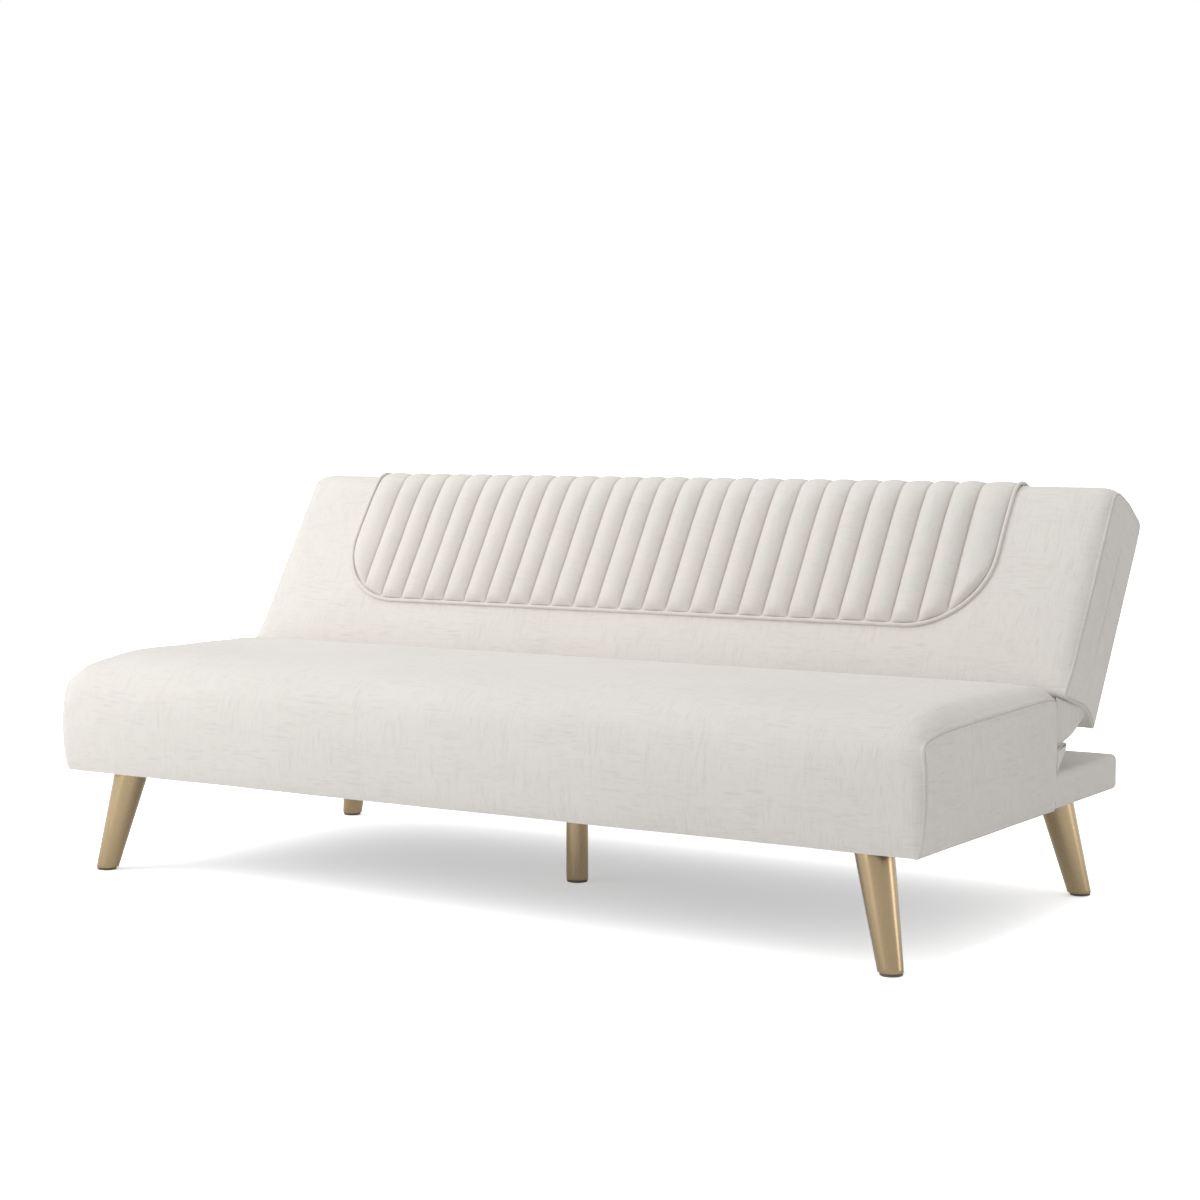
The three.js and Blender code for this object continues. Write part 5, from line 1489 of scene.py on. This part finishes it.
def row_tree():
    """Puts a short round bar at every step along the guide's edges."""
    tree = bpy.data.node_groups.new("parts_along_lines", "GeometryNodeTree")
    sockets = [("Guide", "NodeSocketGeometry", None), ("Step", "NodeSocketFloat", 0.005),
               ("Length", "NodeSocketFloat", 0.003), ("Radius", "NodeSocketFloat", 0.0005),
               ("Sides", "NodeSocketInt", 6), ("Spread", "NodeSocketFloat", 0.1),
               ("Seed", "NodeSocketInt", 3), ("Finish", "NodeSocketMaterial", None)]
    for name, kind, value in sockets:
        made = tree.interface.new_socket(name=name, in_out="INPUT", socket_type=kind)
        if value is not None:
            made.default_value = value
    tree.interface.new_socket(name="Parts", in_out="OUTPUT", socket_type="NodeSocketGeometry")
    add = lambda kind: tree.nodes.new(kind)
    link = tree.links.new
    given, out = add("NodeGroupInput"), add("NodeGroupOutput")
    curve = add("GeometryNodeMeshToCurve")
    even = add("GeometryNodeResampleCurve")
    even.mode = "LENGTH"
    part = add("GeometryNodeMeshCylinder")
    put = add("GeometryNodeInstanceOnPoints")
    tangent = add("GeometryNodeInputTangent")
    turn = add("FunctionNodeAlignRotationToVector")
    size = add("FunctionNodeRandomValue")
    least, most = add("ShaderNodeMath"), add("ShaderNodeMath")
    real = add("GeometryNodeRealizeInstances")
    finish = add("GeometryNodeSetMaterial")
    turn.axis = "Z"
    size.data_type = "FLOAT"
    for maths, operation in ((least, "SUBTRACT"), (most, "ADD")):
        maths.operation = operation
        maths.inputs[0].default_value = 1.0
        link(given.outputs["Spread"], maths.inputs[1])
    for source, output, target, socket in (
            (given, "Guide", curve, "Mesh"), (curve, "Curve", even, "Curve"),
            (given, "Step", even, "Length"), (given, "Sides", part, "Vertices"),
            (given, "Length", part, "Depth"), (given, "Radius", part, "Radius"),
            (even, "Curve", put, "Points"), (part, "Mesh", put, "Instance"),
            (tangent, "Tangent", turn, "Vector"), (turn, "Rotation", put, "Rotation"),
            (least, 0, size, 2), (most, 0, size, 3), (given, "Seed", size, "Seed"),
            (size, 1, put, "Scale"), (put, "Instances", real, "Geometry"),
            (real, "Geometry", finish, "Geometry"), (given, "Finish", finish, "Material"),
            (finish, "Geometry", out, "Parts")):
        link(source.outputs[output], target.inputs[socket])
    return tree


ROWS = row_tree()
print("row tree nodes:", len(ROWS.nodes))


def parts_along(name, lines, body, material, slot, **values):
    """lines are arrays of points in metres. The values go to the tree's inputs by their names."""
    verts, edges = [], []
    for path in lines:
        start = len(verts)
        verts.extend(map(tuple, path))
        edges.extend((start + i, start + i + 1) for i in range(len(path) - 1))
    mesh = bpy.data.meshes.new(name)
    mesh.from_pydata(verts, edges, [])
    piece = bpy.data.objects.new(name, mesh)
    bpy.context.collection.objects.link(piece)
    modifier = piece.modifiers.new("parts", "NODES")
    modifier.node_group = ROWS
    names = {item.name: item.identifier for item in ROWS.interface.items_tree
             if item.in_out == "INPUT"}
    modifier[names["Finish"]] = material
    for key, value in values.items():
        modifier[names[key]] = value
    plain(piece)
    piece.data.shade_smooth()
    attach(piece, body)
    print(name, "faces:", len(piece.data.polygons))


# %% [markdown]
# A row of stitches lies in every groove between two channels and along the end seams, and staples
# hold the dust cloth. Each row follows points of the piece that it is sewn through, so the thread
# lies on the cloth, and a fixed seed makes each stitch a little longer or shorter.

# %% Stitches in the channels, beside the seams, and staples below
groove_runs = np.arange(PANEL_LOW + 14, PANEL_REACH - 12, 6.0)


def groove_line(x):
    """The stitches' line in the groove at x, inside the panel's round corners."""
    reach = np.clip((abs(x) - (PANEL_HALF - WELT_INSET - CORNER[0])) / CORNER[0], 0, 1)
    low = PANEL_LOW + WELT_INSET + CORNER[1] * (1 - math.sqrt(1 - reach ** 2)) + 12
    runs = np.maximum(groove_runs, low)
    return back_to_frame(on_back(np.full(len(runs), x), runs, VALLEY + 0.1))


parts_along(
    "channel_stitches", [groove_line(x) for x in groove_xs], "back", thread, "linen",
    Step=0.0055, Length=0.0034, Radius=0.00045, Sides=5, Spread=0.08, Seed=11)
for body, lines in stitch_lines.items():
    parts_along("seam_stitches_" + body, lines, body, thread, "linen",
                Step=0.0052, Length=0.0030, Radius=0.0004, Sides=5, Spread=0.08, Seed=23)
STAPLE_Z = 192.3
staple_corners = [(-862, 26), (862, 26), (862, 816), (-862, 816), (-862, 26)]
staple_line = to_frame([(x, y, STAPLE_Z) for x, y in staple_corners])
parts_along(
    "dust_cloth_staples", [staple_line], "base", zinc, "steel",
    Step=0.042, Length=0.0105, Radius=0.0005, Sides=6, Spread=0.05, Seed=5)

# %% [markdown]
# The studio is a white floor that runs out of sight under a white sky. The camera, and the rays
# that metal mirrors, see both plain white, while the light that they give the cloth is lower, so
# that pale cloth doesn't clip. Near the sofa less white is added, so the floor keeps the shadow,
# as light as a photographer's.

# %% Floor
FLOOR_LIFT = 0.40
FLOOR_SEEN = 0.8
NEAR, FAR = 1.3, 3.6
FLOOR_HALF = 60


def white_floor():
    """A matt floor that adds white for the camera, more of it further from the sofa."""
    finish = Finish("studio_floor", 0.9)
    finish.shader.inputs["Base Color"].default_value = (0.93, 0.93, 0.93, 1)
    finish.shader.inputs["Specular IOR Level"].default_value = 0.0
    out = finish.node("VectorMath", operation="LENGTH")
    finish.put(finish.place(), out.inputs[0])
    lift = finish.between(out.outputs["Value"], NEAR, FAR, FLOOR_LIFT, 1.0)
    glow = finish.node("Emission")
    finish.put(finish.times(finish.white_rays(), lift), glow.inputs["Strength"])
    seen = finish.node("BsdfDiffuse")
    camera_ray = finish.node("LightPath").outputs["Is Camera Ray"]
    finish.put(finish.blend(camera_ray, (0, 0, 0, 1), (FLOOR_SEEN,) * 3 + (1,)),
               seen.inputs["Color"])
    made = finish.shader
    for layer in (glow, seen):
        both = finish.node("AddShader")
        finish.put(made.outputs[0], both.inputs[0])
        finish.put(layer.outputs[0], both.inputs[1])
        made = both
    finish.put(made.outputs[0], finish.tree.nodes["Material Output"].inputs["Surface"])
    return finish.material


floor_mesh = bpy.data.meshes.new("studio_floor")
floor_corners = [(x * FLOOR_HALF, y * FLOOR_HALF, 0)
                 for x, y in ((-1, -1), (1, -1), (1, 1), (-1, 1))]
floor_mesh.from_pydata(floor_corners, [], [(0, 1, 2, 3)])
floor = finish_mesh("studio_floor", floor_mesh, white_floor(), closed=False)
floor.location.z = -0.0005
print("floor, m each way:", 2 * FLOOR_HALF)

# %% [markdown]
# The sky gives the even light of a white room. A large soft lamp stands to the front left and a
# weaker one above. Two narrow ones light no cloth and are there for the metal, which shows them as
# the bright lines down its legs.

# %% Sky and lamps
SKY_LIGHT = 0.60
world = bpy.data.worlds.new("studio_sky")
bpy.context.scene.world = world
world.use_nodes = True
sky = Nodes(world.node_tree)
background = sky.tree.nodes["Background"]
background.inputs["Color"].default_value = (1, 1, 1, 1)
sky.put(sky.between(sky.white_rays(), 0, 1, SKY_LIGHT, 1.0), background.inputs["Strength"])


def lamp(name, place, towards, width, height, watts, diffuse=True):
    """A soft rectangular lamp. One without diffuse lights only what mirrors it."""
    data = bpy.data.lights.new(name, "AREA")
    data.shape = "RECTANGLE"
    data.size, data.size_y = width, height
    data.energy = watts
    made = bpy.data.objects.new(name, data)
    made.location = place
    made.rotation_mode = "QUATERNION"
    made.rotation_quaternion = (Vector(towards) - Vector(place)).to_track_quat("-Z", "Y")
    made.visible_diffuse = diffuse
    bpy.context.collection.objects.link(made)
    print(name, "watts:", watts)


lamp("soft_key", (-4.0, -2.9, 2.3), (-4.0, 1.0, 0.1), width=4.2, height=3.2, watts=138)
lamp("soft_top", (0.0, -0.4, 4.2), (0.0, 0.1, 0.0), width=4.0, height=3.0, watts=48)
lamp("metal_strip", (4.0, 1.4, 1.2), (0.85, -0.3, 0.1), width=1.3, height=2.2, watts=30,
     diffuse=False)
lamp("metal_front", (-1.6, -4.6, 1.2), (0.3, -0.3, 0.1), width=1.6, height=2.2, watts=22,
     diffuse=False)

bpy.context.scene.view_settings.view_transform = "Standard"
